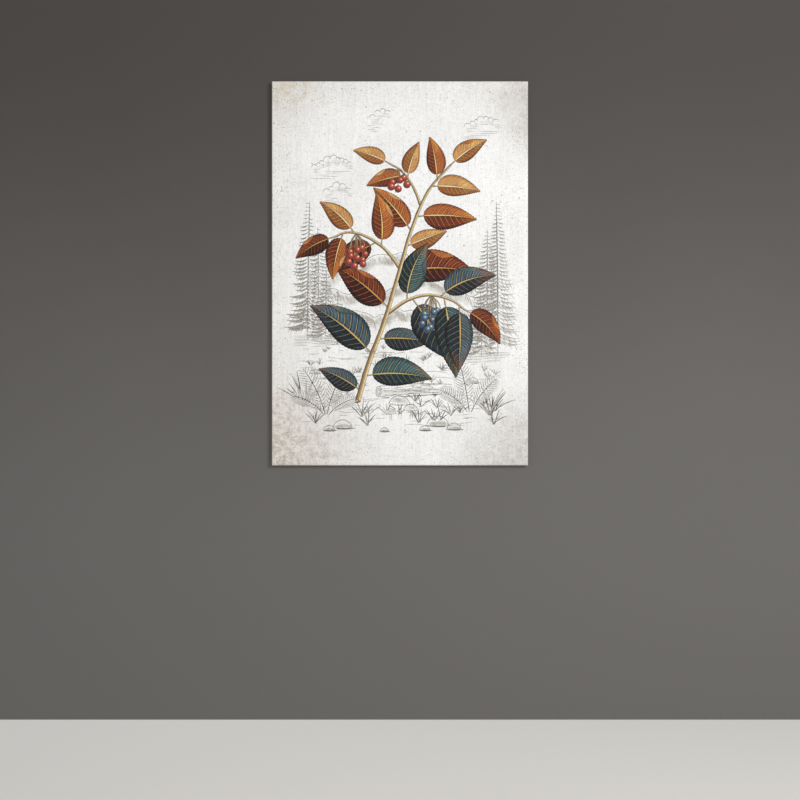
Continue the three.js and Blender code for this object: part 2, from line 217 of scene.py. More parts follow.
class Recipe:
    """A material under construction, written as expressions on its values."""

    def __init__(self, name: str) -> None:
        """Starts an empty material.

        Args:
            name: The material's name.
        """
        self.material = bpy.data.materials.new(name)
        self.material.use_nodes = True
        self.tree = self.material.node_tree
        self.tree.nodes.clear()

    def node(
        self,
        kind: str,
        settings: dict[str, object] | None = None,
        sockets: dict[str | int, object] | None = None,
    ) -> bpy.types.Node:
        """Adds a node.

        Args:
            kind: The node's type.
            settings: Its own properties, which are set first.
            sockets: A value to link or a constant to set, by input name or number.

        Returns:
            The new node.
        """
        made = self.tree.nodes.new(kind)
        for name, setting in (settings or {}).items():
            setattr(made, name, setting)
        for key, given in (sockets or {}).items():
            if isinstance(given, Value):
                self.tree.links.new(given.socket, made.inputs[key])
            else:
                made.inputs[key].default_value = given
        return made

    def read(
        self,
        kind: str,
        settings: dict[str, object] | None = None,
        sockets: dict[str | int, object] | None = None,
        output: str | int = 0,
    ) -> Value:
        """Adds a node, as above, and returns the output of a name or number."""
        return Value(self, self.node(kind, settings, sockets).outputs[output])

    def maths(self, operation: str, *terms: Number) -> Value:
        """Adds a Math node with an operation, and its inputs in order."""
        return self.read("ShaderNodeMath", {"operation": operation}, dict(enumerate(terms)))

    def spot(self) -> Value:
        """Returns the place on the object, in metres."""
        return self.read("ShaderNodeTexCoord", output="Object")

    def layer(self, layer: Layer) -> Value:
        """Returns the place in one of the piece's own UV maps."""
        return self.read("ShaderNodeUVMap", {"uv_map": layer.value})

    def join(self, first: Number, second: Number, third: Number = 0.0) -> Value:
        """Puts a place together from its three numbers."""
        return self.read("ShaderNodeCombineXYZ", sockets={0: first, 1: second, 2: third})

    def mix(self, amount: Number, first: Colour, second: Colour, blend: str = "MIX") -> Value:
        """Mixes two colours.

        Args:
            amount: How much of the second there is.
            first: The colour underneath, or its code.
            second: The colour on top, or its code.
            blend: How the second is laid on the first.

        Returns:
            The mixed colour.
        """
        under, upper = (paint(given) if isinstance(given, str) else given for given in (first, second))
        settings = {"data_type": "RGBA", "blend_type": blend, "clamp_factor": True}
        return self.read("ShaderNodeMix", settings, {0: amount, 6: under, 7: upper}, 2)

    def shader(self, **sockets: object) -> Value:
        """Adds a Principled shader, whose inputs have an underscore for each space in a name."""
        named = {name.replace("_", " "): given for name, given in sockets.items()}
        return self.read("ShaderNodeBsdfPrincipled", sockets=named)

    def serve(self, shader: Value) -> bpy.types.Material:
        """Ends the material with a shader."""
        self.node("ShaderNodeOutputMaterial", sockets={"Surface": shader})
        return self.material


class Layer(Enum):
    """The UV maps of the cloth."""

    SHAPE = "Shape"
    GRAIN = "Grain"
    BAKE = "OFBake"


class Ink(Enum):
    """What covers the cloth, in the order of its material slots."""

    GROUND = 0
    CONTOUR = 1
    SLATE = 2
    TEAL = 3
    MAROON = 4
    RUST = 5
    AMBER = 6
    TWIG = 7
    RED_BERRY = 8
    BLUE_BERRY = 9
    PENCIL = 10
    FAINT_PENCIL = 11
    WASH = 12
    PRIMER = 13
    COTTON = 14


# The inks that take nothing from the measures of the shape that they print.
PLAIN_INKS = (Ink.GROUND, Ink.CONTOUR, Ink.PENCIL, Ink.FAINT_PENCIL)

# What shows where the margin of a leaf is turned over.
UNDERSIDES = {
    Ink.SLATE: Ink.TEAL,
    Ink.TEAL: Ink.SLATE,
    Ink.MAROON: Ink.RUST,
    Ink.RUST: Ink.AMBER,
    Ink.AMBER: Ink.RUST,
}


@dataclass(frozen=True)
class Weave:
    """The relief of plain-woven canvas, with threads of uneven thickness."""

    threads: float = 900.0
    slubs: float = 60.0
    depth: float = 0.00045

    def relief(self, recipe: Recipe) -> Value:
        """Weaves upright and level threads together.

        Args:
            recipe: The material under construction.

        Returns:
            The relief, about 0.5.
        """
        spot = recipe.spot()
        upright = spot.grain((self.threads, self.threads, self.slubs))
        level = spot.grain((self.slubs, self.slubs, self.threads))
        return (upright + level) * 0.5


@dataclass(frozen=True)
class Corner:
    """A corner of the printed ground that has darkened with age."""

    x: float
    z: float
    reach: float
    tint: str
    mottle: float


@dataclass(frozen=True)
class Ground:
    """The printed ground: old off-white paper, with upright fibres, specks and darkened corners.

    A row of the specks says how close together, how big, how many and how dark they are.
    """

    centre_z: float
    face_y: float = -0.0301
    paper: str = "f8f8f7"
    shade: str = "eeedeb"
    weave: Weave = Weave()
    corners: tuple[Corner, ...] = (
        Corner(-0.48, -0.74, 0.46, "efebe7", 0.9),
        Corner(-0.50, 0.76, 0.31, "f3f2ef", 0.4),
        Corner(0.50, 0.77, 0.34, "f5f4f3", 0.4),
        Corner(0.56, 0.59, 0.21, "dad7d3", 0.7),
        Corner(0.53, -0.78, 0.41, "e4e3e2", 0.7),
    )
    specks: Table = ((9.0, 0.0056, 0.4, 0.45), (19.0, 0.0038, 0.5, 0.6), (46.0, 0.0022, 0.5, 0.6))

    def lay(self, recipe: Recipe) -> Value:
        """Works out the colour of the ground.

        Args:
            recipe: The material under construction.

        Returns:
            The ground's colour.
        """
        place = recipe.spot().moved((0.0, 0.0, -self.centre_z))
        x, _, z = place.split()
        cloud = place.grain(4.5, 5.0, 0.6)
        streak = place.grain((130.0, 130.0, 3.5), 3.0, 0.65)
        hairs = place.grain((420.0, 420.0, 24.0), 3.0, 0.7)
        tooth = place.grain(95.0, 4.0, 0.75)
        colour = (
            recipe.mix(cloud.step(0.3, 0.75), self.paper, self.shade)
            .stained("e7e6e4", streak.step(0.5, 0.74, 0.4))
            .over("fefefe", streak.step(0.46, 0.3, 0.5))
            .stained("e5e4e2", hairs.step(0.5, 0.7, 0.45))
            .stained("dcdad7", tooth.step(0.5, 0.7, 0.42))
            .stained("fbf9f6", x.step(-0.36, -0.51, 0.75))
            .stained("f9f8f7", z.step(0.60, 0.76, 0.9))
        )
        border = abs(x).step(0.36, 0.48).greatest(abs(z).step(0.58, 0.72))
        patches = place.grain(15.0, 3.0, 0.6).step(0.44, 0.60) * border
        grit = place.grain(170.0, 2.0, 0.7).step(0.57, 0.65)
        colour = colour.stained("837d77", grit * (patches * 0.48 + 0.12))
        for corner in self.corners:
            near = place.apart((corner.x, self.face_y, corner.z)) + (cloud - 0.5) * 0.35
            amount = near.step(corner.reach, corner.reach * 0.12)
            blotch = place.grain(36.0, 4.5, 0.85).step(0.4, 0.66) * amount
            colour = colour.stained(corner.tint, amount).stained("d3c9c1", blotch * corner.mottle)
        return self._aged(recipe, colour, place)

    def _aged(self, recipe: Recipe, colour: Value, place: Value) -> Value:
        """Adds the stains, specks and hair cracks of old paper.

        Args:
            recipe: The material under construction.
            colour: The ground so far.
            place: The place, from the middle of the picture.

        Returns:
            The ground's colour.
        """
        x, y, z = place.split()
        ragged = place.grain(260.0, 3.0, 0.6) * 0.005
        flat = recipe.join(x + y + ragged, z + y * 0.6 - ragged)
        stain = z.step(0.60, 0.72) * x.step(-0.24, -0.42) * flat.grain(22.0, 4.0, 0.6).step(0.44, 0.6)
        colour = colour.stained("f5ecd3", stain * 0.45)
        for scale, size, share, depth in self.specks:
            halo = flat.specks(scale, size * 1.9, share)
            spots = flat.specks(scale, size, share)
            colour = colour.over("fbfaf8", halo * 0.2).over("7d7469", spots * depth)
        wander = flat.grain(3.2, 6.0, 0.6)
        crack = abs(wander - 0.5).step(0.004, 0.0) * flat.grain(2.1, 1.0).step(0.55, 0.62)
        return colour.over("b5aea4", crack * 0.3)

    def printed(
        self, recipe: Recipe, ink: Colour, cover: Number, gloss: float = 0.0
    ) -> bpy.types.Material:
        """Prints an ink over the ground, thinly enough for the ground's wear to show.

        Args:
            recipe: The material under construction.
            ink: The ink's colour.
            cover: How much of the ground it hides.
            gloss: How much smoother than the ground it dries.

        Returns:
            The finished material.
        """
        relief = self.weave.relief(recipe)
        shader = recipe.shader(
            # painted shade: the colour darkens in the hollows of the weave's relief
            Base_Color=self.lay(recipe).over(ink, cover).stained("d6d3cf", relief.step(0.5, 0.36, 0.8)),
            Roughness=relief * 0.2 + (0.66 - gloss),
            Specular_IOR_Level=0.25,
            Normal=relief.bump(self.weave.depth, 0.8),
        )
        return recipe.serve(shader)

    def bare(self) -> bpy.types.Material:
        """Makes the ground where nothing is printed over it."""
        return self.printed(Recipe("aged_ground"), self.paper, 0.0, -0.04)


@dataclass(frozen=True)
class LeafInk:
    """The hand-coloured look of a leaf: two washes, engraved shading, veins and a worn surface."""

    name: str
    body: str
    tip: str
    deep: str
    light: str
    vein: str
    blush: str
    pairs: float = 10.0
    lean: float = 1.5

    def dress(self, ground: Ground) -> bpy.types.Material:
        """Makes the ink.

        Args:
            ground: The ground that it is printed on.

        Returns:
            The finished material.
        """
        recipe = Recipe(self.name)
        along, across, _ = recipe.layer(Layer.SHAPE).split()
        own = recipe.layer(Layer.GRAIN)
        wide = abs(across)
        lit = across.step(-0.03, 0.03)
        rank = along * self.pairs - (wide**1.35) * self.lean + lit * 0.5
        place = rank.fraction()
        edge = abs(place - 0.5) * 2.0
        veins = edge.step(0.86, 0.97) * wide.step(0.98, 0.7)
        swell = edge.step(0.85, 0.1)
        strokes = recipe.join(rank * 7.0, wide * 1.3, lit * 9.0).grain(1.0, 2.0, 0.6)
        wash = own.grain(11.0, 3.0, 0.55) - 0.5
        spots = own.grain(55.0, 3.0, 0.6).step(0.62, 0.7)
        shade = wide.step(0.72, 1.0, 0.6).greatest(wide.step(0.2, 0.0, 0.65))
        colour = (
            recipe.mix((along + wash * 1.3).step(0.25, 0.95), self.body, self.tip)
            .over(self.blush, (along + wash * 1.6 + wide * 0.35).step(0.85, 1.25, 0.75))
            .over(self.light, swell * (lit * 0.34 + 0.05))
            .over(self.deep, shade + (1.0 - lit) * 0.55)
            .over(self.deep, place.step(0.55, 0.98, 0.45))
            .over(self.deep, strokes.step(0.5, 0.62, 0.5))
            .over(self.light, strokes.step(0.45, 0.33, 0.22) * (lit + 0.3))
            .over(self.deep, spots * 0.55)
            .over(self.vein, veins * (lit * 0.35 + 0.4))
            .over(self.vein, (wide / (1.08 - along)).step(0.075, 0.035))
        )
        worn = own.grain(160.0, 3.0, 0.7).step(0.6, 0.78, 0.3)
        return ground.printed(recipe, colour, 1.0 - worn, 0.1)


@dataclass(frozen=True)
class TwigInk:
    """The look of a drawn twig: round, lit from one side, with small scars."""

    name: str = "twig_ink"
    body: str = "a8854d"
    light: str = "e6d3a0"
    deep: str = "4a3019"

    def dress(self, ground: Ground) -> bpy.types.Material:
        """Makes the ink.

        Args:
            ground: The ground that it is printed on.

        Returns:
            The finished material.
        """
        recipe = Recipe(self.name)
        _, across, _ = recipe.layer(Layer.SHAPE).split()
        own = recipe.layer(Layer.GRAIN)
        colour = (
            recipe.mix(across.step(-0.1, 0.55), self.body, self.light)
            .over(self.deep, across.step(-0.1, -0.95, 0.85))
            .over(self.deep, own.grain((160.0, 420.0, 1.0), 3.0, 0.6).step(0.5, 0.66, 0.6))
            .over(self.deep, own.grain((60.0, 25.0, 1.0)).step(0.62, 0.68, 0.7))
        )
        return ground.printed(recipe, colour, 0.96, 0.08)


@dataclass(frozen=True)
class BerryInk:
    """The look of a drawn berry: a ball lit from the upper right, with a small bright patch."""

    name: str
    body: str
    light: str
    deep: str
    glint: str = "f4e9cf"

    def dress(self, ground: Ground) -> bpy.types.Material:
        """Makes the ink.

        Args:
            ground: The ground that it is printed on.

        Returns:
            The finished material.
        """
        recipe = Recipe(self.name)
        ball = recipe.layer(Layer.SHAPE)
        stipple = recipe.layer(Layer.GRAIN).grain(520.0, 2.0, 0.6)
        away = ball.apart((0.34, 0.4, 0.0))
        colour = (
            recipe.mix(away.step(1.0, 0.1), self.body, self.light)
            .over(self.deep, (away + (stipple - 0.5) * 0.7).step(0.75, 1.35))
            .over(self.light, ball.apart((0.12, 0.16, 0.0)).step(0.86, 1.12, 0.5))
            .over(self.deep, ball.apart((-0.42, -0.46, 0.0)).step(0.2, 0.1))
            .over(self.glint, away.step(0.24, 0.12, 0.95))
        )
        return ground.printed(recipe, colour, 0.97, 0.12)


@dataclass(frozen=True)
class LineInk:
    """The look of a drawn line or a thin wash, which lets the ground through."""

    name: str
    colour: str
    cover: float
    crumble: float
    soft: bool = False

    def dress(self, ground: Ground) -> bpy.types.Material:
        """Makes the ink.

        Args:
            ground: The ground that it is printed on.

        Returns:
            The finished material.
        """
        recipe = Recipe(self.name)
        crumbs = recipe.spot().grain(240.0, 3.0, 0.7)
        cover = crumbs.step(0.36, 0.6, self.cover * self.crumble) + self.cover * (1.0 - self.crumble)
        if self.soft:
            along, across, _ = recipe.layer(Layer.SHAPE).split()
            pool = recipe.layer(Layer.GRAIN).grain(30.0, 3.0, 0.6)
            ends = along.step(0.0, 0.35) * along.step(1.0, 0.65)
            cover = cover * ends * abs(across).step(1.0, 0.25) * pool.step(0.2, 0.7)
        return ground.printed(recipe, self.colour, cover)


@dataclass(frozen=True)
class PlainCloth:
    """Unprinted canvas: slubby threads, painted shade in the weave, and flecks of seed husk where it is not
    primed.
    """

    name: str
    thread: str
    shadow_and_slub: str
    fleck: float
    weave: Weave = Weave()

    def dress(self) -> bpy.types.Material:
        """Makes the cloth.

        Returns:
            The finished material.
        """
        recipe = Recipe(self.name)
        spot = recipe.spot()
        x, y, z = spot.split()
        relief = self.weave.relief(recipe)
        husks = recipe.join((x + z) * 0.6 + y, (z - x) * 1.6 + y).specks(52.0, 0.0014, 0.35)
        # painted shade: the hollows of the weave's relief take the darker colour; the same colour also tints
        # slubs and mottling below
        colour = recipe.mix(relief.step(0.56, 0.4, 0.9), self.thread, self.shadow_and_slub)
        for threads in ((420.0, 420.0, 7.0), (7.0, 7.0, 420.0)):
            colour = colour.over(self.shadow_and_slub, spot.grain(threads, 3.0, 0.7).step(0.5, 0.66, 0.45))
        colour = colour.stained(self.shadow_and_slub, spot.grain(6.0, 3.0).step(0.4, 0.7, 0.2))
        shader = recipe.shader(
            Base_Color=colour.over("7d6544", husks * self.fleck),
            Roughness=relief * 0.15 + 0.8,
            Specular_IOR_Level=0.15,
            Normal=relief.bump(self.weave.depth * 1.4),
        )
        return recipe.serve(shader)


class Run(Enum):
    """The way that the grain of a piece of wood runs."""

    LEVEL = "level"
    UPRIGHT = "upright"

    def place(self, recipe: Recipe) -> tuple[Value, Value, Value]:
        """Measures a place along, across and through the wood."""
        x, y, z = recipe.spot().split()
        return (x, z, y) if self is Run.LEVEL else (z, x, y)


@dataclass(frozen=True)
class Pine:
    """Planed pine, sawn flat: wandering growth rings, fine fibres and a few knots."""

    name: str
    run: Run
    heart: Point
    knots: tuple[Triple, ...] = ()
    early: str = "e4c798"
    late: str = "bd8850"
    knot: str = "6a3d1b"
    rings: float = 290.0

    def dress(self) -> bpy.types.Material:
        """Makes the wood.

        Returns:
            The finished material.
        """
        recipe = Recipe(self.name)
        along, across, deep = self.run.place(recipe)
        wander = recipe.join(along * 1.4, across * 5.0, deep * 5.0).grain(1.0, 3.0, 0.55) - 0.5
        ring = recipe.join(across, deep).apart((*self.heart, 0.0)) + wander * 0.034
        plane = recipe.join(along, across)
        cores, halo = None, None
        for where, height, radius in self.knots:
            away = plane.apart((where, height, 0.0)) + wander * radius
            ring = ring + away.step(radius * 4.5, radius * 0.6, radius * 1.4)
            core = away.step(radius * 1.1, radius * 0.9)
            dark = away.step(radius * 2.2, radius, 0.6)
            cores = core if cores is None else cores.greatest(core)
            halo = dark if halo is None else halo.greatest(dark)
        turn = (ring * self.rings).fraction()
        late = turn.step(0.3, 0.88) * turn.step(1.0, 0.94)
        fibre = recipe.join(along * 14.0, across * 900.0, deep * 900.0).grain(1.0, 2.0, 0.6)
        tone = recipe.join(along * 2.0, across * 30.0, deep * 30.0).grain()
        colour = (
            recipe.mix(late * 0.72, self.early, self.late)
            .stained("e8c48e", tone.step(0.35, 0.7, 0.4))
            .stained(self.late, fibre.step(0.5, 0.68, 0.35))
        )
        if cores is not None:
            colour = colour.over("a36c38", halo).over(self.knot, cores * 0.9)
        shader = recipe.shader(
            Base_Color=colour,
            Roughness=0.66 - late * 0.1 + fibre * 0.1,
            Specular_IOR_Level=0.3,
            Normal=(late * 0.6 + fibre).bump(0.00012),
        )
        return recipe.serve(shader)


@dataclass(frozen=True)
class Beech:
    """Sawn beech: pinkish brown, with short dark flecks along the grain."""

    name: str
    run: Run

    def dress(self) -> bpy.types.Material:
        """Makes the wood.

        Returns:
            The finished material.
        """
        recipe = Recipe(self.name)
        along, across, deep = self.run.place(recipe)
        fleck = recipe.join(along * 130.0, across * 1300.0, deep * 1300.0).grain(1.0, 1.0)
        band = recipe.join(along * 12.0, across * 240.0, deep * 240.0).grain()
        colour = recipe.mix(band.step(0.35, 0.65), "cfa97f", "b98f66")
        shader = recipe.shader(
            Base_Color=colour.over("7d532f", fleck.step(0.6, 0.7, 0.7)),
            Roughness=0.6 + fleck * 0.15,
            Specular_IOR_Level=0.3,
            Normal=(fleck + band).bump(0.0001),
        )
        return recipe.serve(shader)


@dataclass(frozen=True)
class PlatedSteel:
    """Stamped or drawn steel under a thin plating, scuffed and slightly stained."""

    name: str
    plate: str
    stain: str
    rough: float

    def dress(self) -> bpy.types.Material:
        """Makes the metal.

        Returns:
            The finished material.
        """
        recipe = Recipe(self.name)
        spot = recipe.spot()
        scuff = spot.grain((2600.0, 2600.0, 500.0), 3.0, 0.7)
        film = spot.grain(190.0, 3.0, 0.6)
        shader = recipe.shader(
            Base_Color=recipe.mix(film.step(0.38, 0.66, 0.8), self.plate, self.stain),
            Metallic=1.0,
            Roughness=scuff * 0.24 + self.rough,
            Normal=scuff.bump(0.00003),
        )
        return recipe.serve(shader)


@dataclass(frozen=True)
class Felt:
    """Pressed wool felt: matted dark fibres with a few paler ones."""

    name: str = "felt"

    def dress(self) -> bpy.types.Material:
        """Makes the felt.

        Returns:
            The finished material.
        """
        recipe = Recipe(self.name)
        fibres = recipe.spot().grain((1500.0, 4200.0, 2100.0), 3.0, 0.7)
        shader = recipe.shader(
            Base_Color=recipe.mix(fibres.step(0.42, 0.72), "3a3a3c", "6d6c6b"),
            Roughness=fibres * 0.1 + 0.88,
            Specular_IOR_Level=0.1,
            Sheen_Weight=0.35,
            Normal=fibres.bump(0.0004),
        )
        return recipe.serve(shader)


@dataclass(frozen=True)
class Plaster:
    """Painted plaster or a seamless studio floor, with a faint rolled texture; painted shade darkens it
    above.
    """

    name: str
    low: str
    high: str
    one_sided: bool = False

    def dress(self) -> bpy.types.Material:
        """Makes the surface.

        Returns:
            The finished material, which is clear from behind if it is one-sided.
        """
        recipe = Recipe(self.name)
        spot = recipe.spot()
        height = spot.split()[2] + spot.grain(1.1, 3.0) * 0.4
        shader = recipe.shader(
            # painted shade: the wall's colour darkens towards the top, as if the light fell off there; the
            # floor lies below this and stays even
            Base_Color=recipe.mix(height.step(-1.7, 0.5), self.low, self.high),
            Roughness=0.85,
            Specular_IOR_Level=0.15,
            Normal=spot.grain(260.0, 3.0, 0.6).bump(0.0003, 0.4),
        )
        if self.one_sided:
            clear = recipe.read("ShaderNodeBsdfTransparent")
            back = recipe.read("ShaderNodeNewGeometry", output="Backfacing")
            shader = recipe.read("ShaderNodeMixShader", sockets={0: back, 1: shader, 2: clear})
        return recipe.serve(shader)


def heading(degrees: float) -> Vector:
    """Returns a unit vector that is turned left from the right-hand direction."""
    return Vector((math.cos(math.radians(degrees)), math.sin(math.radians(degrees))))


def bearing(run: Vector) -> float:
    """Returns how many degrees a direction is turned left from the right-hand one."""
    return math.degrees(math.atan2(run.y, run.x))


def lit_span(run: Vector) -> Point:
    """Returns the measure across the right and left of a run, which is 1 on the side with the light."""
    return (-1.0, 1.0) if run.orthogonal().dot(LIT_FROM) > 0 else (1.0, -1.0)


def arc(start: Vector, degrees: float, length: float, bend: float, steps: int) -> list[Vector]:
    """Draws a line that turns evenly as it runs.

    Args:
        start: Where it begins.
        degrees: The direction in which it sets out.
        length: How long it is.
        bend: How many degrees it turns left in all.
        steps: How many straight steps stand for it.

    Returns:
        The points of the line.
    """
    points = [start.copy()]
    for k in range(steps):
        points.append(points[-1] + heading(degrees + bend * (k + 0.5) / steps) * (length / steps))
    return points


def smooth_line(through: Sequence[Point], steps: int) -> list[Vector]:
    """Draws a smooth line through points.

    Args:
        through: The points.
        steps: How many straight steps there are between two of them.

    Returns:
        The points of the line.
    """
    knots = [Vector(p) for p in through]
    knots = [knots[0] * 2 - knots[1], *knots, knots[-1] * 2 - knots[-2]]
    points = []
    for a, b, c, d in zip(knots, knots[1:], knots[2:], knots[3:]):
        for k in range(steps):
            t = k / steps
            bow = (b - c) * 3 + d - a
            points.append((b * 2 + (c - a) * t + (a * 2 - b * 5 + c * 4 - d) * t**2 + bow * t**3) * 0.5)
    return [*points, knots[-2].copy()]


@dataclass(frozen=True)
class Mask:
    """The outline of a shape, and how many of the drawing's cells lie under it."""

    cells: int
    outline: Sequence[Vector]
    low: Vector
    high: Vector

    def hides(self, spots: Sequence[Vector]) -> bool:
        """Tells whether all spots lie inside the outline."""
        near = all(self.low.x < p.x < self.high.x and self.low.y < p.y < self.high.y for p in spots)
        return near and all(self._surrounds(p) for p in spots)

    def _surrounds(self, spot: Vector) -> bool:
        """Counts the sides that pass over a spot, to tell whether it lies inside.

        Args:
            spot: The spot.

        Returns:
            Whether it lies inside.
        """
        within = False
        for a, b in zip(self.outline, [*self.outline[1:], self.outline[0]]):
            if (a.y > spot.y) != (b.y > spot.y):
                if spot.x < a.x + (b.x - a.x) * (spot.y - a.y) / (b.y - a.y):
                    within = not within
        return within


class Drawing:
    """The printed design, laid down cell by cell from the back to the front.

    Places are in metres right of and above the middle of the picture. Every cell keeps its shape's own
    measures at its corners: a part, from 0 to 1 along and -1 to 1 across, and a place in metres.
    """

    def __init__(self, seed: int) -> None:
        """Starts an empty drawing.

        Args:
            seed: What the drawing's chance starts from.
        """
        self.chance = random.Random(seed)
        self.points: list[Vector] = []
        self.parts: list[Point] = []
        self.metres: list[Point] = []
        self.cells: list[list[int]] = []
        self.inks: list[Ink] = []
        self.masks: list[Mask] = []

    def _shift(self) -> Point:
        """Returns a place far from the others, so that no two shapes have the same grain."""
        return self.chance.uniform(0, 40), self.chance.uniform(0, 40)

    def band(
        self,
        spine: Sequence[Vector],
        left: Sequence[float],
        right: Sequence[float],
        ink: Ink,
        span: Point = (-1.0, 1.0),
        ridge: bool = True,
    ) -> None:
        """Lays a band along a line.

        Args:
            spine: The points of the line.
            left: How far the band reaches left of each point.
            right: How far it reaches right of each point.
            ink: What it is printed with.
            span: The measure across at its right and its left side.
            ridge: Whether it is divided along and across its line, or is one flat shape.
        """
        first = len(self.points)
        shift = self._shift()
        sides = (-1, 0, 1) if ridge else (-1, 1)
        middle, swing = (span[1] + span[0]) / 2, (span[1] - span[0]) / 2
        last = len(spine) - 1
        run = 0.0
        for k, centre in enumerate(spine):
            run += (centre - spine[k - 1]).length if k else 0.0
            across = (spine[min(k + 1, last)] - spine[max(k - 1, 0)]).orthogonal().normalized()
            for side in sides:
                reach = side * (left[k] if side > 0 else right[k])
                self.points.append(centre + across * reach)
                self.parts.append((k / last, middle + side * swing))
                self.metres.append((run + shift[0], reach + shift[1]))
        if not ridge:
            rights = list(range(first, first + 2 * last + 2, 2))
            self.cell([*rights, *(k + 1 for k in reversed(rights))], ink)
            return
        for row in range(first, first + 3 * last, 3):
            for a in (row, row + 1):
                self.cell([a, a + 3, a + 4], ink)
                self.cell([a, a + 4, a + 1], ink)

    def cell(self, corners: list[int], ink: Ink) -> None:
        """Lays one cell on top of the others.

        Args:
            corners: The numbers of its points, all the way round.
            ink: What it is printed with.
        """
        spots = [self.points[k] for k in corners]
        area = sum(a.cross(b) for a, b in zip(spots, [*spots[1:], spots[0]]))
        self.cells.append(corners if area > 0 else corners[::-1])
        self.inks.append(ink)

    def mask(self, spots: Sequence[Vector]) -> None:
        """Notes that everything so far is hidden inside an outline.

        Args:
            spots: The points of the outline.
        """
        low = Vector((min(p.x for p in spots), min(p.y for p in spots)))
        high = Vector((max(p.x for p in spots), max(p.y for p in spots)))
        self.masks.append(Mask(len(self.cells), spots, low, high))

    def visible(self) -> Iterable[tuple[list[int], Ink]]:
        """Returns each cell that isn't wholly behind a later shape, with its ink."""
        for number, (corners, ink) in enumerate(zip(self.cells, self.inks)):
            spots = [self.points[k] for k in corners]
            if not any(number < mask.cells and mask.hides(spots) for mask in self.masks):
                yield corners, ink

    def stroke(self, spine: Sequence[Vector], width: float, ink: Ink, taper: float = 0.5) -> None:
        """Lays a line that thins towards both ends.

        Args:
            spine: The points of the line.
            width: How wide it is in the middle.
            ink: What it is drawn with.
            taper: How soon it thins.
        """
        last = len(spine) - 1
        half = [width / 2 * math.sin(math.pi * (0.04 + 0.92 * k / last)) ** taper for k in range(last + 1)]
        self.band(spine, half, half, ink, ridge=False)

    def twig(self, spine: Sequence[Vector], width: float, outlined: float, taper: float = 0.2) -> None:
        """Lays a twig of a width over an outline of a greater one."""
        self.stroke(spine, outlined, Ink.CONTOUR, taper)
        self.stroke(spine, width, Ink.TWIG, taper)

    def disc(self, centre: Vector, radius: float, ink: Ink, sides: int = 18) -> None:
        """Lays a round cell.

        Args:
            centre: Its middle.
            radius: How big it is.
            ink: What it is printed with.
            sides: How many sides stand for the circle.
        """
        first = len(self.points)
        shift = self._shift()
        for k in range(sides):
            out = heading(360 * k / sides)
            self.points.append(centre + out * radius)
            self.parts.append((out.x, out.y))
            self.metres.append((out.x * radius + shift[0], out.y * radius + shift[1]))
        self.cell(list(range(first, first + sides)), ink)


@dataclass(frozen=True)
class Leaf:
    """A toothed leaf on a short stalk."""

    base: Vector
    degrees: float
    length: float
    bend: float
    ink: Ink
    slant: float
    broad: float = 0.47
    rise: float = 0.60
    fall: float = 1.12
    teeth: int = 20
    tooth: float = 0.0022
    outline: float = 0.0013
    stalk: float = 0.13
    stalk_bend: float = 0.2
    stalk_widths: Point = (0.0038, 0.0062)
    turned: float = 0.55
    turned_from: Point = (0.30, 0.45)
    turned_depth: float = 0.19
    turned_outline: float = 0.0009
    least: float = 0.0004

    def draw(self, drawing: Drawing) -> None:
        """Draws the leaf, with its outline under it.

        Args:
            drawing: The drawing that it goes on.
        """
        bend = self.bend * self.stalk_bend
        stalk = arc(self.base, self.degrees - bend, self.length * self.stalk, bend, 4)
        drawing.twig(stalk, *self.stalk_widths)
        steps = self.teeth * 2
        spine = arc(stalk[-1], self.degrees, self.length, self.bend, steps)
        middle = heading(self.degrees + self.bend / 2)
        span = lit_span(middle)
        shares = (self.slant, 2.0 - self.slant)
        left, right = ([self._reach(k / steps, share) for k in range(steps + 1)] for share in shares)
        normal = middle.orthogonal()
        core = [p + normal * r for p, r in zip(spine[::4], left[::4])]
        core += [p - normal * r for p, r in zip(spine[::-4], right[::-4])]
        drawing.mask(core)
        for grow, ink in ((self.outline, Ink.CONTOUR), (0.0, self.ink)):
            bays = [grow + self.tooth * (k % 2) for k in range(steps + 1)]
            sides = [[r + bay for r, bay in zip(side, bays)] for side in (left, right)]
            drawing.band(spine, *sides, ink, span, ridge=ink is not Ink.CONTOUR)
        if drawing.chance.random() < self.turned:
            self._turn_over(drawing, spine, left if span[1] > 0 else right, span[1])

    def _turn_over(
        self, drawing: Drawing, spine: Sequence[Vector], reach: Sequence[float], side: float
    ) -> None:
        """Folds a stretch of the lit margin over, so that the paler underside shows.

        Args:
            drawing: The drawing that it goes on.
            spine: The leaf's rib.
            reach: How far the blade reaches on that side.
            side: 1 if that side is the left one and -1 if it is the right one.
        """
        first = round(len(spine) * drawing.chance.uniform(*self.turned_from))
        count = len(spine) // 3
        fold, half = [], []
        for k in range(first, first + count + 1):
            across = (spine[k + 1] - spine[k - 1]).orthogonal().normalized() * side
            depth = self.turned_depth * math.sin(math.pi * (k - first) / count)
            fold.append(spine[k] + across * reach[k] * (1.0 - depth))
            half.append(reach[k] * depth + self.least)
        edge = [h + self.turned_outline for h in half]
        drawing.band(fold, edge, edge, Ink.CONTOUR, ridge=False)
        drawing.band(fold, half, half, UNDERSIDES[self.ink], (0.3, 0.95), ridge=False)

    def _reach(self, part: float, share: float) -> float:
        """Works out how far the blade reaches from its rib.

        Args:
            part: How far along the rib it is, from 0 to 1.
            share: Its side's share of the width, which is 1 where both are alike.

        Returns:
            The reach.
        """
        peak = self.rise / (self.rise + self.fall)
        shape = (part / peak) ** self.rise * ((1 - part) / (1 - peak)) ** self.fall
        return max(self.least, self.length * self.broad / 2 * share * shape)


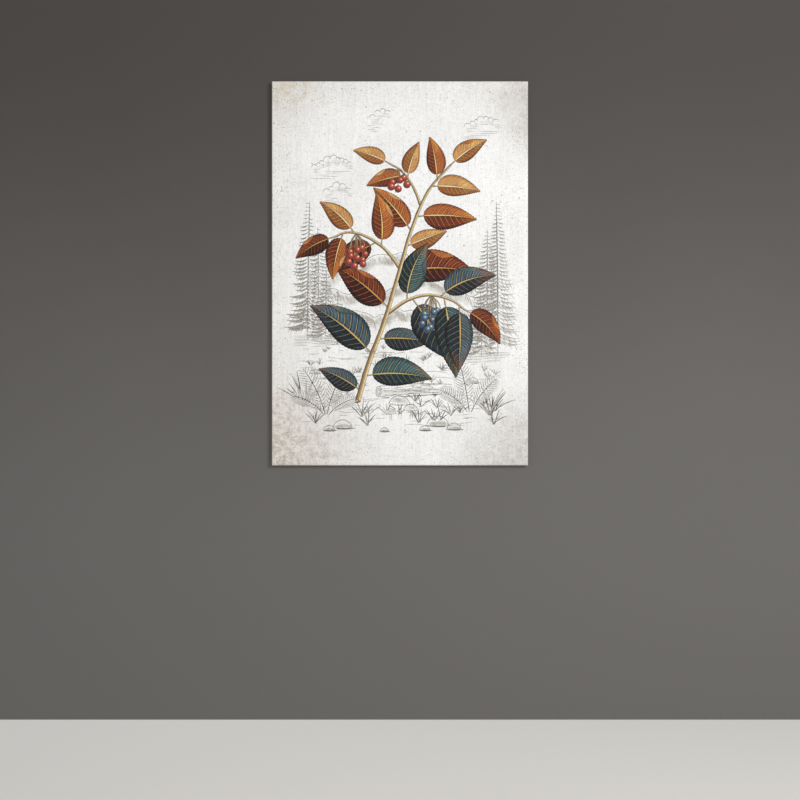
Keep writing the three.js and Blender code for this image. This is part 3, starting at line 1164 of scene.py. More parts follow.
@dataclass(frozen=True)
class Stem:
    """A twig that thins towards its end."""

    through: tuple[Point, ...]
    thick: float
    thin: float
    outline: float = 0.0013
    knob: float = 0.0012

    def line(self) -> list[Vector]:
        """Returns the points of its middle."""
        return smooth_line(self.through, 8)

    def at(self, part: float) -> tuple[Vector, float]:
        """Finds a place on the stem.

        Args:
            part: How far along it is, from 0 to 1.

        Returns:
            The place, and the direction in which the stem runs there, in degrees.
        """
        line = self.line()
        spot = part * (len(line) - 1)
        k = min(int(spot), len(line) - 2)
        run = line[k + 1] - line[k]
        return line[k] + run * (spot - k), bearing(run)

    def draw(self, drawing: Drawing) -> None:
        """Draws the stem, with its outline under it.

        Args:
            drawing: The drawing that it goes on.
        """
        line = self.line()
        last = len(line) - 1
        span = lit_span(line[-1] - line[0])
        for grow, ink in ((self.outline, Ink.CONTOUR), (0.0, Ink.TWIG)):
            half = [(self.thick + (self.thin - self.thick) * k / last) / 2 + grow for k in range(last + 1)]
            knobs = [r + self.knob * max(0.0, math.sin(k * 1.3)) ** 6 for k, r in enumerate(half)]
            drawing.band(line, knobs, half, ink, span, ridge=ink is not Ink.CONTOUR)


LeafRow = tuple[Stem, float, float, float, float, Ink, float]


@dataclass
class Spray:
    """The motif: an arching spray with toothed leaves in autumn colours, and berries."""

    drawing: Drawing
    trunk: Stem = Stem(
        ((-0.165, -0.500), (-0.125, -0.360), (-0.062, -0.190), (-0.005, 0.000))
        + ((0.045, 0.170), (0.110, 0.320), (0.200, 0.425)),
        0.019,
        0.006,
    )
    right: Stem = Stem(
        ((-0.052, -0.160), (0.030, -0.105), (0.115, -0.085), (0.200, -0.105), (0.255, -0.145)), 0.012, 0.005
    )
    left: Stem = Stem(
        ((0.000, 0.020), (-0.060, 0.095), (-0.135, 0.145), (-0.205, 0.160), (-0.260, 0.140)), 0.011, 0.005
    )
    crest: Stem = Stem(((0.082, 0.262), (0.050, 0.340), (0.005, 0.400), (-0.045, 0.430)), 0.009, 0.004)
    back_leaves: tuple[LeafRow, ...] = (
        (trunk, 0.05, 68, 0.165, 22, Ink.SLATE, 1.10),
        (trunk, 0.27, -64, 0.185, -20, Ink.SLATE, 0.90),
        (trunk, 0.12, -66, 0.235, -24, Ink.TEAL, 1.15),
        (trunk, 0.21, 62, 0.275, 24, Ink.SLATE, 0.90),
        (right, 0.30, -74, 0.270, -6, Ink.SLATE, 0.85),
        (trunk, 0.38, 60, 0.235, 20, Ink.MAROON, 1.12),
        (left, 0.36, 62, 0.190, 14, Ink.MAROON, 0.90),
        (trunk, 0.50, -62, 0.265, -26, Ink.MAROON, 1.15),
        (trunk, 0.72, -64, 0.210, -18, Ink.RUST, 0.88),
        (trunk, 0.66, 52, 0.200, 18, Ink.RUST, 1.10),
        (trunk, 0.60, -50, 0.150, -8, Ink.AMBER, 0.90),
        (crest, 0.55, 58, 0.140, 16, Ink.RUST, 0.90),
        (right, 0.24, 58, 0.215, -34, Ink.TEAL, 0.90),
    )
    front_leaves: tuple[LeafRow, ...] = (
        (right, 0.66, -62, 0.280, -4, Ink.TEAL, 1.12),
        (right, 0.62, 50, 0.210, -38, Ink.SLATE, 1.10),
        (right, 0.88, -46, 0.230, -10, Ink.SLATE, 0.88),
        (right, 1.00, 8, 0.170, -34, Ink.MAROON, 1.10),
        (left, 0.30, -56, 0.185, 24, Ink.RUST, 0.90),
        (left, 0.66, -48, 0.160, 30, Ink.AMBER, 1.12),
        (left, 0.82, 52, 0.165, 14, Ink.RUST, 0.90),
        (left, 1.00, -4, 0.150, 26, Ink.MAROON, 1.08),
        (crest, 0.50, -50, 0.130, -14, Ink.AMBER, 1.10),
        (crest, 1.00, 2, 0.130, 18, Ink.AMBER, 0.92),
        (trunk, 0.86, -52, 0.170, -16, Ink.AMBER, 1.12),
        (trunk, 0.90, 46, 0.150, 14, Ink.RUST, 0.90),
        (trunk, 1.00, -6, 0.150, -18, Ink.AMBER, 1.10),
    )

    def draw(self) -> None:
        """Draws the whole motif."""
        self._leaves(self.back_leaves)
        self._berries(self.right, 0.52, 11, Ink.BLUE_BERRY, 0.135)
        self._berries(self.left, 0.62, 10, Ink.RED_BERRY, 0.130)
        for stem in (self.crest, self.left, self.right, self.trunk):
            stem.draw(self.drawing)
        self._cut()
        self._leaves(self.front_leaves)
        self._berries(self.crest, 0.75, 6, Ink.RED_BERRY, 0.085)

    def _cut(self) -> None:
        """Draws the slanting cut at the trunk's foot."""
        foot, degrees = self.trunk.at(0.0)
        slope, half = degrees - 62, self.trunk.thick * 0.62
        self.drawing.twig(arc(foot - heading(slope) * half, slope, half * 2, 0, 8), 0.0100, 0.0125, 0.5)

    def _leaves(self, rows: Sequence[LeafRow]) -> None:
        """Draws the leaves of a table.

        Args:
            rows: Each leaf's stem, how far along it is, its turn from the stem, length, bend, ink and slant.
        """
        for stem, part, turn, length, bend, ink, slant in rows:
            base, degrees = stem.at(part)
            Leaf(base, degrees + turn, length, bend, ink, slant).draw(self.drawing)

    def _berries(self, stem: Stem, part: float, count: int, ink: Ink, drop: float) -> None:
        """Hangs a bunch of berries from a stem.

        Args:
            stem: The stem.
            part: How far along the stem it hangs.
            count: How many berries there are.
            ink: The berries' ink.
            drop: How far it hangs down.
        """
        base, _ = stem.at(part)
        chance = self.drawing.chance
        spots = []
        for k in range(count):
            fall = drop * (0.45 + 0.6 * k / count)
            reach = 0.034 * math.sin(2.4 * k + 0.6)
            spots.append(base + Vector((reach + chance.uniform(-0.004, 0.004), -fall)))
        for spot in spots:
            middle = (base + spot) / 2 + Vector(((spot.x - base.x) * 0.32, drop * 0.05))
            self.drawing.twig(smooth_line((tuple(base), tuple(middle), tuple(spot)), 5), 0.0020, 0.0042)
        for spot in spots:
            radius = chance.uniform(0.0118, 0.0145)
            self.drawing.disc(spot, radius + 0.0012, Ink.CONTOUR)
            self.drawing.disc(spot, radius, ink)


@dataclass
class Landscape:
    """The pencil landscape behind the motif: clouds, hills, fir trees, a meadow, ferns, stones and a log.

    The rows of its tables start with a place, across and up, apart from those of the hills.
    """

    drawing: Drawing
    left: float = -0.395
    right: float = 0.395
    pen: float = 1.8
    clouds: Table = (
        (-0.345, 0.405, 0.150),
        (-0.300, 0.300, 0.085),
        (0.250, 0.560, 0.130),
        (-0.120, 0.590, 0.075),
    )
    hills: Table = ((0.010, 0.120, 3.1, 1.7), (-0.070, 0.085, 4.6, 5.2), (-0.145, 0.055, 6.5, 9.1))
    near_firs: Table = (
        (0.340, -0.300, 0.470),
        (-0.318, -0.240, 0.420),
        (-0.242, -0.255, 0.190),
        (-0.360, -0.258, 0.540),
        (-0.290, -0.262, 0.270),
        (0.276, -0.318, 0.150),
        (0.382, -0.322, 0.600),
        (0.318, -0.325, 0.260),
    )
    tall_tufts: Table = (
        (-0.372, -0.520, 0.130, 17),
        (0.352, -0.555, 0.115, 15),
        (-0.150, -0.560, 0.075, 11),
        (0.060, -0.500, 0.060, 9),
    )
    log_start: Point = (-0.085, -0.462)
    log_length: float = 0.290
    log_radius: float = 0.021
    stones: Table = (
        (0.150, -0.580, 0.046),
        (0.212, -0.600, 0.030),
        (0.098, -0.606, 0.022),
        (-0.222, -0.592, 0.040),
        (-0.275, -0.606, 0.024),
        (-0.060, -0.612, 0.018),
        (0.285, -0.420, 0.024),
        (0.252, -0.430, 0.015),
        (-0.330, -0.385, 0.020),
    )
    fronds: Table = (
        (-0.300, -0.548, 128, 0.150, 46),
        (-0.292, -0.550, 104, 0.200, 24),
        (-0.284, -0.550, 80, 0.170, -22),
        (-0.278, -0.552, 52, 0.130, -44),
        (0.262, -0.540, 122, 0.140, 40),
        (0.270, -0.542, 96, 0.190, 10),
        (0.278, -0.542, 68, 0.165, -30),
    )
    leaflet: tuple[float, ...] = (0.0010, 0.0032, 0.0034, 0.0024, 0.0006)
    toadstools: Table = ((0.000, -0.560, 0.044), (0.044, -0.568, 0.030), (-0.036, -0.574, 0.024))

    @property
    def chance(self) -> random.Random:
        """The drawing's chance."""
        return self.drawing.chance

    def draw(self) -> None:
        """Draws the landscape from the sky and the far hills to the near ground."""
        self._clouds()
        self._hills()
        self._woods()
        self._meadow()
        self._log()
        self._stones()
        self._ferns()
        self._toadstools()

    def _line(
        self, spine: Sequence[Vector], width: float, ink: Ink = Ink.FAINT_PENCIL, taper: float = 0.5
    ) -> None:
        """Draws one pencil line, whose width is multiplied by that of the pen."""
        self.drawing.stroke(spine, width * self.pen, ink, taper)

    def _clouds(self) -> None:
        """Draws banks of cloud: a row of bulging tops over level hatching."""
        for x, z, wide in self.clouds:
            reach = 0.0
            while reach < wide:
                bulge = self.chance.uniform(0.014, 0.030)
                rise = 0.040 * math.sin(math.pi * (reach + bulge / 2) / (wide + 0.03))
                start = Vector((x + reach, z + rise))
                self._line(arc(start, 96, bulge * 1.5, -170, 6), 0.0013, Ink.PENCIL)
                for k in range(3):
                    shade = start + Vector((bulge * 0.35, -0.006 - 0.006 * k))
                    self._line(arc(shade, -4, bulge * self.chance.uniform(0.6, 1.2), 10, 3), 0.0009)
                reach += bulge * 0.85
            for k in range(5):
                start = Vector((x + self.chance.uniform(-0.02, wide * 0.4), z - 0.008 - 0.007 * k))
                length = wide * self.chance.uniform(0.35, 0.75)
                self._line(arc(start, 1, length, self.chance.uniform(-3, 3), 4), 0.0010)

    def _ridge(self, base: float, height: float, pitch: float, seed: float, steps: int) -> list[Vector]:
        """Works out the top of a row of hills.

        Args:
            base: How high it lies on the picture.
            height: How far it rises and falls.
            pitch: How many hills there are to a metre.
            seed: What sets its shape apart from the others'.
            steps: How many straight steps stand for it.

        Returns:
            The points of the top.
        """
        ridge = []
        for k in range(steps + 1):
            x = self.left + (self.right - self.left) * k / steps
            lift = noise.noise(Vector((x * pitch, seed, 0)))
            lift += 0.35 * noise.noise(Vector((x * pitch * 4, seed, 2)))
            ridge.append(Vector((x, base + height * lift)))
        return ridge

    def _hills(self) -> None:
        """Draws three ridges, each with a wash and slanting shade strokes below it."""
        steps = 60
        for row in self.hills:
            ridge = self._ridge(*row, steps)
            low = [Vector((p.x, p.y - 0.024)) for p in ridge]
            self.drawing.band(low, [0.022] * len(low), [0.026] * len(low), Ink.WASH)
            for first in range(0, steps, 6):
                self._line(ridge[first : first + 7], 0.0014, Ink.PENCIL, 0.3)
            for k in range(1, steps):
                falling = ridge[k].y < ridge[k - 1].y
                for _ in range(3 if falling else 1):
                    down = Vector((self.chance.uniform(-0.006, 0.006), self.chance.uniform(0.002, 0.02)))
                    length = self.chance.uniform(0.012, 0.040 if falling else 0.016)
                    self._line(arc(ridge[k] - down, -60, length, -16, 3), 0.0010)

    def _woods(self) -> None:
        """Draws the fir trees, the far ones smaller."""
        far = []
        for k in range(7):
            foot, height = -0.222 + 0.004 * math.sin(k * 2.1), 0.040 + 0.016 * math.sin(k * 1.7)
            far.append((0.130 + 0.019 * k, foot, height))
        for k in range(5):
            far.append((-0.200 + 0.018 * k, -0.215 - 0.003 * k, 0.046 + 0.014 * math.sin(k * 2.3)))
        for x, foot, height in (*far, *self.near_firs):
            self._fir(Vector((x, foot)), height)
        for x, foot, _ in self.near_firs:
            for k in range(7):
                start = Vector((x - 0.05 + self.chance.uniform(-0.01, 0.01), foot - 0.006 * k + 0.012))
                self._line(arc(start, 2, 0.10 - 0.008 * k, -5, 4), 0.0011)

    def _fir(self, foot: Vector, height: float) -> None:
        """Draws one fir tree.

        Args:
            foot: Where it stands.
            height: How tall it is.
        """
        chance = self.chance
        self._line(arc(foot, 90, height, chance.uniform(-2, 2), 6), 0.0011 + height * 0.003, Ink.PENCIL)
        rows = max(6, int(height / 0.0155))
        spread = min(height * 0.27, 0.088)
        for k in range(rows):
            part = (k + 0.6) / rows
            start = foot + Vector((0, height * (1 - 0.9 * part)))
            for way in (1, -1):
                reach = spread * part**0.8 * chance.uniform(0.7, 1.1) + 0.004
                slope = 90 - way * (122 + chance.uniform(-6, 6))
                bough = arc(start, slope, reach, way * 40, 4)
                upper, lower = [0.0008] * 5, [0.0008, reach * 0.11, reach * 0.13, reach * 0.08, 0.0006]
                sides = (upper, lower) if way > 0 else (lower, upper)
                self.drawing.band(bough, *sides, Ink.WASH if way > 0 else Ink.FAINT_PENCIL, ridge=False)
                self._line(bough, 0.0012, Ink.PENCIL)
                for knot in (1, 2, 3) if reach > 0.018 else ():
                    needle = arc(bough[knot], slope - way * 30, reach * 0.28, way * 10, 2)
                    self._line(needle, 0.0011, Ink.PENCIL)

    def _meadow(self) -> None:
        """Draws broken ground lines and tufts of grass over the meadow."""
        chance = self.chance
        for _ in range(150):
            z = -0.265 - 0.33 * chance.random() ** 1.2
            x = chance.uniform(self.left, self.right - 0.06)
            length = chance.uniform(0.015, 0.075)
            ink = Ink.PENCIL if chance.random() < 0.18 else Ink.FAINT_PENCIL
            tilt, bend = chance.uniform(-5, 7), chance.uniform(-12, 12)
            self._line(arc(Vector((x, z)), tilt, length, bend, 4), 0.0011, ink)
        for _ in range(60):
            z = -0.275 - 0.32 * chance.random()
            x = chance.uniform(self.left + 0.01, self.right - 0.01)
            self._tuft(Vector((x, z)), 0.012 + 0.05 * (-0.25 - z) / 0.34, chance.randint(4, 8))
        for x, z, height, count in self.tall_tufts:
            self._tuft(Vector((x, z)), height, count)

    def _tuft(self, foot: Vector, height: float, blades: int) -> None:
        """Draws a tuft of grass.

        Args:
            foot: Where it grows.
            height: How tall it is.
            blades: How many blades it has.
        """
        chance = self.chance
        darkest = Ink.CONTOUR if height > 0.04 else Ink.PENCIL
        for k in range(blades):
            lean = 90 + (k / max(1, blades - 1) - 0.5) * -70 + chance.uniform(-6, 6)
            start = foot + Vector((chance.uniform(-0.08, 0.08) * height, 0))
            blade = arc(start, lean, height * chance.uniform(0.6, 1.1), (lean - 90) * 0.9, 5)
            ink = chance.choice((Ink.PENCIL, Ink.PENCIL, Ink.FAINT_PENCIL, darkest))
            self._line(blade, 0.0010 + height * 0.010, ink)

    def _log(self) -> None:
        """Draws a mossy log with its sawn end towards the left."""
        chance = self.chance
        start, length, half, steps = Vector(self.log_start), self.log_length, self.log_radius, 12
        spine = arc(start, 7, length, -9, steps)
        self.drawing.band(spine, [half * 0.1] * len(spine), [half] * len(spine), Ink.WASH)
        for side in (1, -1):
            rim = [p + Vector((0, side * half * (1 - 0.25 * k / steps))) for k, p in enumerate(spine)]
            self._line(rim, 0.0015, Ink.PENCIL, 0.25)
        for _ in range(70):
            k = chance.randint(0, 10)
            spot = spine[k] + Vector((chance.uniform(0, length / steps), half * chance.uniform(-0.85, 0.7)))
            ink = Ink.PENCIL if spot.y < spine[k].y else Ink.FAINT_PENCIL
            self._line(arc(spot, 6, chance.uniform(0.008, 0.030), -4, 3), 0.0010, ink)
        turns = [math.tau * k / 16 for k in range(17)]
        for share in (1.0, 0.68, 0.36):
            wide, tall = half * 0.55 * share, half * share
            ring = [start + Vector((wide * math.cos(a), tall * math.sin(a))) for a in turns]
            for part in (ring[:9], ring[8:]):
                self._line([p + Vector((0.002, 0)) for p in part], 0.0013, Ink.PENCIL, 0.2)
        for k in range(9):
            shade = start + Vector((0.01 + 0.030 * k, -half - 0.004 + 0.002 * k))
            self._line(arc(shade, 2, 0.05, 5, 3), 0.0017, Ink.CONTOUR)
        for k in (3, 7, 10):
            self._tuft(spine[k] + Vector((0, half * 0.7)), 0.024, 7)

    def _stones(self) -> None:
        """Draws rounded stones with shaded undersides."""
        for x, z, size in self.stones:
            middle = Vector((x, z))
            wash = [middle + Vector((size * 1.15 * s, -size * 0.12)) for s in (-1.0, -0.5, 0.0, 0.5, 1.0)]
            self.drawing.band(wash, [size * 0.25] * 5, [size * 0.45] * 5, Ink.WASH, ridge=False)
            top = arc(middle + Vector((-size, -size * 0.25)), 78, size * 2.6, -156, 9)
            self._line(top, 0.0016, Ink.PENCIL, 0.3)
            foot = arc(middle + Vector((-size * 1.1, -size * 0.3)), -8, size * 2.3, 16, 4)
            self._line(foot, 0.0022, Ink.CONTOUR)
            for k in range(12):
                across = -0.75 + 1.5 * k / 11
                lift = 0.35 * (1 - across * across) - 0.22
                start = middle + Vector((across * size, lift * size))
                ink = Ink.PENCIL if across < 0.1 else Ink.FAINT_PENCIL
                self._line(arc(start, -70, size * self.chance.uniform(0.25, 0.5), 24, 3), 0.0010, ink)

    def _ferns(self) -> None:
        """Draws the fern fronds in the near corners."""
        for x, z, degrees, length, bend in self.fronds:
            rib = arc(Vector((x, z)), degrees, length, bend, 16)
            self._line(rib, 0.0020, Ink.CONTOUR, 0.3)
            for k in range(3, 16):
                way = bearing(rib[k] - rib[k - 1])
                reach = length * 0.26 * math.sin(math.pi * (0.12 + 0.84 * (k - 3) / 13)) + 0.004
                for side in (-1, 1):
                    blade = arc(rib[k], way + side * 62, reach, -side * 22, 4)
                    self.drawing.band(blade, self.leaflet, self.leaflet, Ink.WASH, ridge=False)
                    self._line(blade, 0.0010, Ink.PENCIL)

    def _toadstools(self) -> None:
        """Draws a group of toadstools."""
        for x, z, size in self.toadstools:
            foot = Vector((x, z))
            top = foot + Vector((0, size * 1.15))
            for shift in (-0.14, 0.14):
                side = arc(foot + Vector((size * shift, 0)), 90, size * 1.15, shift * 20, 4)
                self._line(side, 0.0013, Ink.PENCIL)
            wash = [top + Vector((size * s, size * 0.18)) for s in (-0.95, -0.5, 0.0, 0.5, 0.95)]
            self.drawing.band(wash, [size * 0.45] * 5, [size * 0.2] * 5, Ink.WASH, ridge=False)
            rim = top + Vector((-size, 0))
            self._line(arc(rim, 76, size * 2.55, -152, 10), 0.0016, Ink.PENCIL, 0.3)
            self._line(arc(rim, -14, size * 2.02, 28, 6), 0.0013, Ink.PENCIL, 0.3)
            for k in range(9):
                across = -0.8 + 0.2 * k
                start = top + Vector((size * across, -size * 0.20 * (1 - across * across)))
                self._line(arc(start, 90 - 40 * across, size * 0.24, 0, 2), 0.0009)


def picked(kind: type, made: Iterable[object]) -> list:
    """Returns the vertices, edges or faces among what an operator made."""
    return [part for part in made if isinstance(part, kind)]


def sort_parts(form: bmesh.types.BMesh) -> None:
    """Puts the vertices and faces of a form in an order that is the same in every run.

    Args:
        form: The mesh under construction.
    """
    verts = sorted(form.verts, key=lambda vert: tuple(vert.co))
    faces = sorted(form.faces, key=lambda face: tuple(face.calc_center_median()))
    for parts in (verts, faces):
        for number, part in enumerate(parts):
            part.index = number
    form.verts.sort()
    form.faces.sort()


def settle(form: bmesh.types.BMesh, name: str, *finishes: bpy.types.Material) -> bpy.types.Object:
    """Turns a finished form into a piece, and links it to the scene.

    Args:
        form: The mesh under construction, which ends here.
        name: The piece's name.
        *finishes: Its finishes, in the order of their slots.

    Returns:
        The piece.
    """
    sort_parts(form)
    mesh = bpy.data.meshes.new(name)
    form.to_mesh(mesh)
    form.free()
    for finish in finishes:
        mesh.materials.append(finish)
    piece = bpy.data.objects.new(name, mesh)
    bpy.context.collection.objects.link(piece)
    return piece


@dataclass
class Cloth:
    """The canvas: one sheet, printed in front, wrapped over the frame and stapled behind.

    The patches and strips are where its faces lie on the square map that it is baked on.
    """

    drawing: Drawing
    low: Vector
    high: Vector
    edge_radius: float = 0.006
    back_radius: float = 0.0015
    margin: float = 0.009
    hem: float = 0.027
    print_end: float = 0.0095
    even: float = 0.68
    waver: float = 0.0011
    pitch: float = 0.025
    closeness: float = 1e-7
    straight: float = 0.02
    crease: float = 40.0
    front_patch: Point = (0.315, 0.62)
    inside_patch: Point = (0.715, 0.155)
    patch_height: float = 0.99
    strips: float = 0.80
    strip_pitch: float = 0.05
    strip_gap: float = 0.003
    strip_width: float = 0.044
    strip_reach: float = 0.494
    rim: list[bmesh.types.BMEdge] = field(default_factory=list, init=False)
    last: Point = field(default=(0.0, 0.0), init=False)
    run: float = field(default=0.0, init=False)

    def __post_init__(self) -> None:
        """Starts the mesh, with its UV maps and the seat of each vertex on the sheet."""
        self.form = bmesh.new()
        self.parts, self.metres, self.bake = (self.form.loops.layers.uv.new(layer.value) for layer in Layer)
        self.seat = self.form.verts.layers.float_vector.new("seat")

    @property
    def half(self) -> Point:
        """Half the picture's width and height."""
        return (self.high.x - self.low.x) / 2, (self.high.z - self.low.z) / 2

    @property
    def centre_z(self) -> float:
        """The height of the picture's middle."""
        return (self.high.z + self.low.z) / 2

    def build(self) -> bpy.types.Object:
        """Builds the sheet.

        Returns:
            The finished piece.
        """
        self._print_front()
        self._wrap()
        bmesh.ops.recalc_face_normals(self.form, faces=self.form.faces)
        self._spread()
        for edge in self.form.edges:
            if len(edge.link_faces) == 2 and edge.calc_face_angle(0.0) > math.radians(self.crease):
                edge.smooth = False
        return settle(self.form, "canvas_cloth", *self._finishes())

    def _finishes(self) -> list[bpy.types.Material]:
        """Makes the sheet's finishes.

        Returns:
            One for each ink, in the order of the inks.
        """
        ground = Ground(self.centre_z)
        inks = {
            Ink.CONTOUR: LineInk("contour_ink", "120d0c", 0.97, 0.0),
            Ink.SLATE: LeafInk("slate_leaf", "182d3d", "2a4a5c", "040910", "7191a0", "cdae6c", "8a4a22"),
            Ink.TEAL: LeafInk("teal_leaf", "14343e", "27545f", "040e13", "6b9697", "cab06f", "9a6a2a"),
            Ink.MAROON: LeafInk("maroon_leaf", "4e0d0c", "74200f", "190304", "b0552e", "d09a52", "b0541c"),
            Ink.RUST: LeafInk("rust_leaf", "8e2c0d", "c25a17", "380d05", "e79a4b", "f2cf86", "e0962e"),
            Ink.AMBER: LeafInk("amber_leaf", "bd6c18", "dd9f3c", "5c2a0c", "f6dd98", "fbeec4", "b5421a"),
            Ink.TWIG: TwigInk(),
            Ink.RED_BERRY: BerryInk("red_berry", "8c1f14", "cc4f28", "3a0a08"),
            Ink.BLUE_BERRY: BerryInk("blue_berry", "24384e", "5f86a0", "0c1622"),
            Ink.PENCIL: LineInk("pencil_line", "443b2d", 0.92, 0.4),
            Ink.FAINT_PENCIL: LineInk("faint_pencil_line", "706651", 0.86, 0.45),
            Ink.WASH: LineInk("pencil_wash", "8f8774", 0.82, 0.4, soft=True),
        }
        made = {ink: look.dress(ground) for ink, look in inks.items()}
        made[Ink.GROUND] = ground.bare()
        made[Ink.PRIMER] = PlainCloth("primed_canvas", "efece4", "d9d4c8", 0.0).dress()
        made[Ink.COTTON] = PlainCloth("raw_cotton", "e3d8be", "c2b390", 0.7).dress()
        return [made[ink] for ink in Ink]

    def _print_front(self) -> None:
        """Cuts the front of the sheet along the drawing, so that each shape is made of its own facets."""
        wide, tall = (side - self.margin for side in self.half)
        rim = self._outline(wide, tall)
        points = [*rim, *self.drawing.points]
        cells, inks = [list(range(len(rim)))], [Ink.GROUND]
        for corners, ink in self.drawing.visible():
            cells.append([k + len(rim) for k in corners])
            inks.append(ink)
        spots, _, facets, _, _, owners = delaunay_2d_cdt(points, [], cells, 1, self.closeness)
        verts = [self.form.verts.new((p.x, self.low.y, self.centre_z + p.y)) for p in spots]
        for vert, spot in zip(verts, spots):
            vert[self.seat] = (spot.x / wide, 0.0, spot.y / tall)
        top = self.form.faces.layers.int.new("cell")
        for facet, owner in zip(facets, owners):
            if 0 in owner:
                face = self.form.faces.new([verts[k] for k in facet])
                face[top] = max(owner)
                face.material_index = inks[max(owner)].value
        self._simplify(top)
        for face in self.form.faces:
            if inks[face[top]] not in PLAIN_INKS:
                self._measure(face, [k - len(rim) for k in cells[face[top]]])

    def _outline(self, wide: float, tall: float) -> list[Vector]:
        """Draws the rim of the flat front, with evenly spaced points, turning left.

        Args:
            wide: Half its width.
            tall: Half its height.

        Returns:
            The points of the rim.
        """
        corners = [(-wide, -tall), (wide, -tall), (wide, tall), (-wide, tall)]
        points = []
        for (x, z), (end_x, end_z) in zip(corners, [*corners[1:], corners[0]]):
            across, up = end_x - x, end_z - z
            count = round(abs(across + up) / self.pitch)
            points += [Vector((x + across * k / count, z + up * k / count)) for k in range(count)]
        return points

    def _simplify(self, top: bmesh.types.BMLayerItem) -> None:
        """Joins the facets that show the same cell, so that what is hidden behind it leaves no trace.

        Args:
            top: The layer with the number of the cell that each facet shows.
        """
        form = self.form
        inner = [edge for edge in form.edges if len(edge.link_faces) == 2]
        shared = [edge for edge in inner if edge.link_faces[0][top] == edge.link_faces[1][top] > 0]
        bmesh.ops.dissolve_edges(form, edges=shared, use_verts=False)
        loose = [vert for vert in form.verts if len(vert.link_edges) == 2 and not vert.is_boundary]
        straight = [vert for vert in loose if abs(vert.calc_edge_angle(math.pi)) < self.straight]
        bmesh.ops.dissolve_verts(form, verts=straight)
        bmesh.ops.triangulate(form, faces=form.faces)

    def _measure(self, face: bmesh.types.BMFace, cell: Sequence[int]) -> None:
        """Copies a cell's own measures onto a facet.

        Args:
            face: The facet.
            cell: The numbers of the cell's points in the drawing.
        """
        drawing = self.drawing
        corners = [drawing.points[k].to_3d() for k in cell]
        for loop in face.loops:
            weights = poly_3d_calc(corners, Vector((loop.vert.co.x, loop.vert.co.z - self.centre_z, 0)))
            for layer, source in ((self.parts, drawing.parts), (self.metres, drawing.metres)):
                terms = (Vector(source[k]) * w for k, w in zip(cell, weights))
                loop[layer].uv = sum(terms, Vector((0, 0)))

    def _wrap(self) -> None:
        """Carries the rim of the front over the edges, round the back and up the inside."""
        front, back = self.low.y, self.high.y
        outer, inner = self.edge_radius, self.edge_radius - CLOTH_THICKNESS
        fold = self.back_radius
        self.rim = [edge for edge in self.form.edges if edge.is_boundary]
        self.last = (self.margin, front)
        self._ring(outer, front, Ink.GROUND)
        for k in range(1, 7):
            turn = math.radians(15 * k)
            self._ring(outer * (1 - math.sin(turn)), front + outer * (1 - math.cos(turn)), Ink.GROUND)
        for part in (0.33, 0.67, 1.0):
            self._ring(0.0, front + outer + (back - fold - front - outer) * part, Ink.GROUND)
        for k in range(1, 4):
            turn = math.radians(30 * k)
            self._ring(fold * (1 - math.cos(turn)), back - fold * (1 - math.sin(turn)), Ink.GROUND)
        self._ring(self.print_end, back, Ink.GROUND)
        self._ring(self.hem * self.even, back, Ink.PRIMER)
        self._ring(self.hem, back, Ink.PRIMER, self.waver)
        self._ring(self.hem, back - CLOTH_THICKNESS, Ink.COTTON, self.waver)
        self._ring(fold, back - CLOTH_THICKNESS, Ink.COTTON)
        self._ring(CLOTH_THICKNESS, back - fold, Ink.COTTON)
        self._ring(CLOTH_THICKNESS, front + outer, Ink.COTTON)
        for k in range(1, 5):
            turn = math.radians(90 - 22.5 * k)
            self._ring(outer - inner * math.sin(turn), front + outer - inner * math.cos(turn), Ink.COTTON)
        for face in bmesh.ops.contextual_create(self.form, geom=self.rim)["faces"]:
            face.material_index = Ink.COTTON.value

    def _ring(self, inset: float, level: float, ink: Ink, waver: float = 0.0) -> None:
        """Extrudes the open rim to a new place.

        Args:
            inset: How far in from the picture's outline the new rim lies.
            level: How far back it lies.
            ink: What covers the cloth on the way there.
            waver: How unevenly it is cut.
        """
        self.run += math.hypot(inset - self.last[0], level - self.last[1])
        self.last = (inset, level)
        made = bmesh.ops.extrude_edge_only(self.form, edges=self.rim)["geom"]
        for vert in picked(bmesh.types.BMVert, made):
            across, _, up = vert[self.seat]
            slip = inset + waver * noise.noise(Vector((across * 31, up * 43, 0.5)))
            vert.co = (across * (self.half[0] - slip), level, self.centre_z + up * (self.half[1] - slip))
            vert[self.seat] = (across, self.run, up)
        for face in picked(bmesh.types.BMFace, made):
            face.material_index = ink.value
            face.smooth = True
        self.rim = [edge for edge in picked(bmesh.types.BMEdge, made) if edge.is_boundary]

    def _spread(self) -> None:
        """Lays the whole surface out flat for baking: the front, the inside and the four wrapped sides."""
        for face in self.form.faces:
            seats = [loop.vert[self.seat] for loop in face.loops]
            wrapped = face.smooth
            across, up = (sum(abs(seat[axis]) for seat in seats) for axis in (0, 2))
            level_side = up > across
            axis = 0 if level_side else 2
            positive = sum(seat[2 - axis] for seat in seats) > 0
            strip = self.strips + self.strip_pitch * (2 * level_side + positive)
            for loop in face.loops:
                place, seat = loop.vert.co, loop.vert[self.seat]
                if wrapped:
                    out = self.strip_width * seat[1] / self.run
                    spot = (strip + self.strip_gap + out, 0.5 + self.strip_reach * seat[axis])
                else:
                    before = place.y < self.low.y + CLOTH_THICKNESS / 2
                    middle, width = self.front_patch if before else self.inside_patch
                    part = Vector((place.x / self.half[0], (place.z - self.centre_z) / self.half[1])) * 0.5
                    spot = (middle + width * part.x, 0.5 + self.patch_height * part.y)
                loop[self.bake].uv = spot


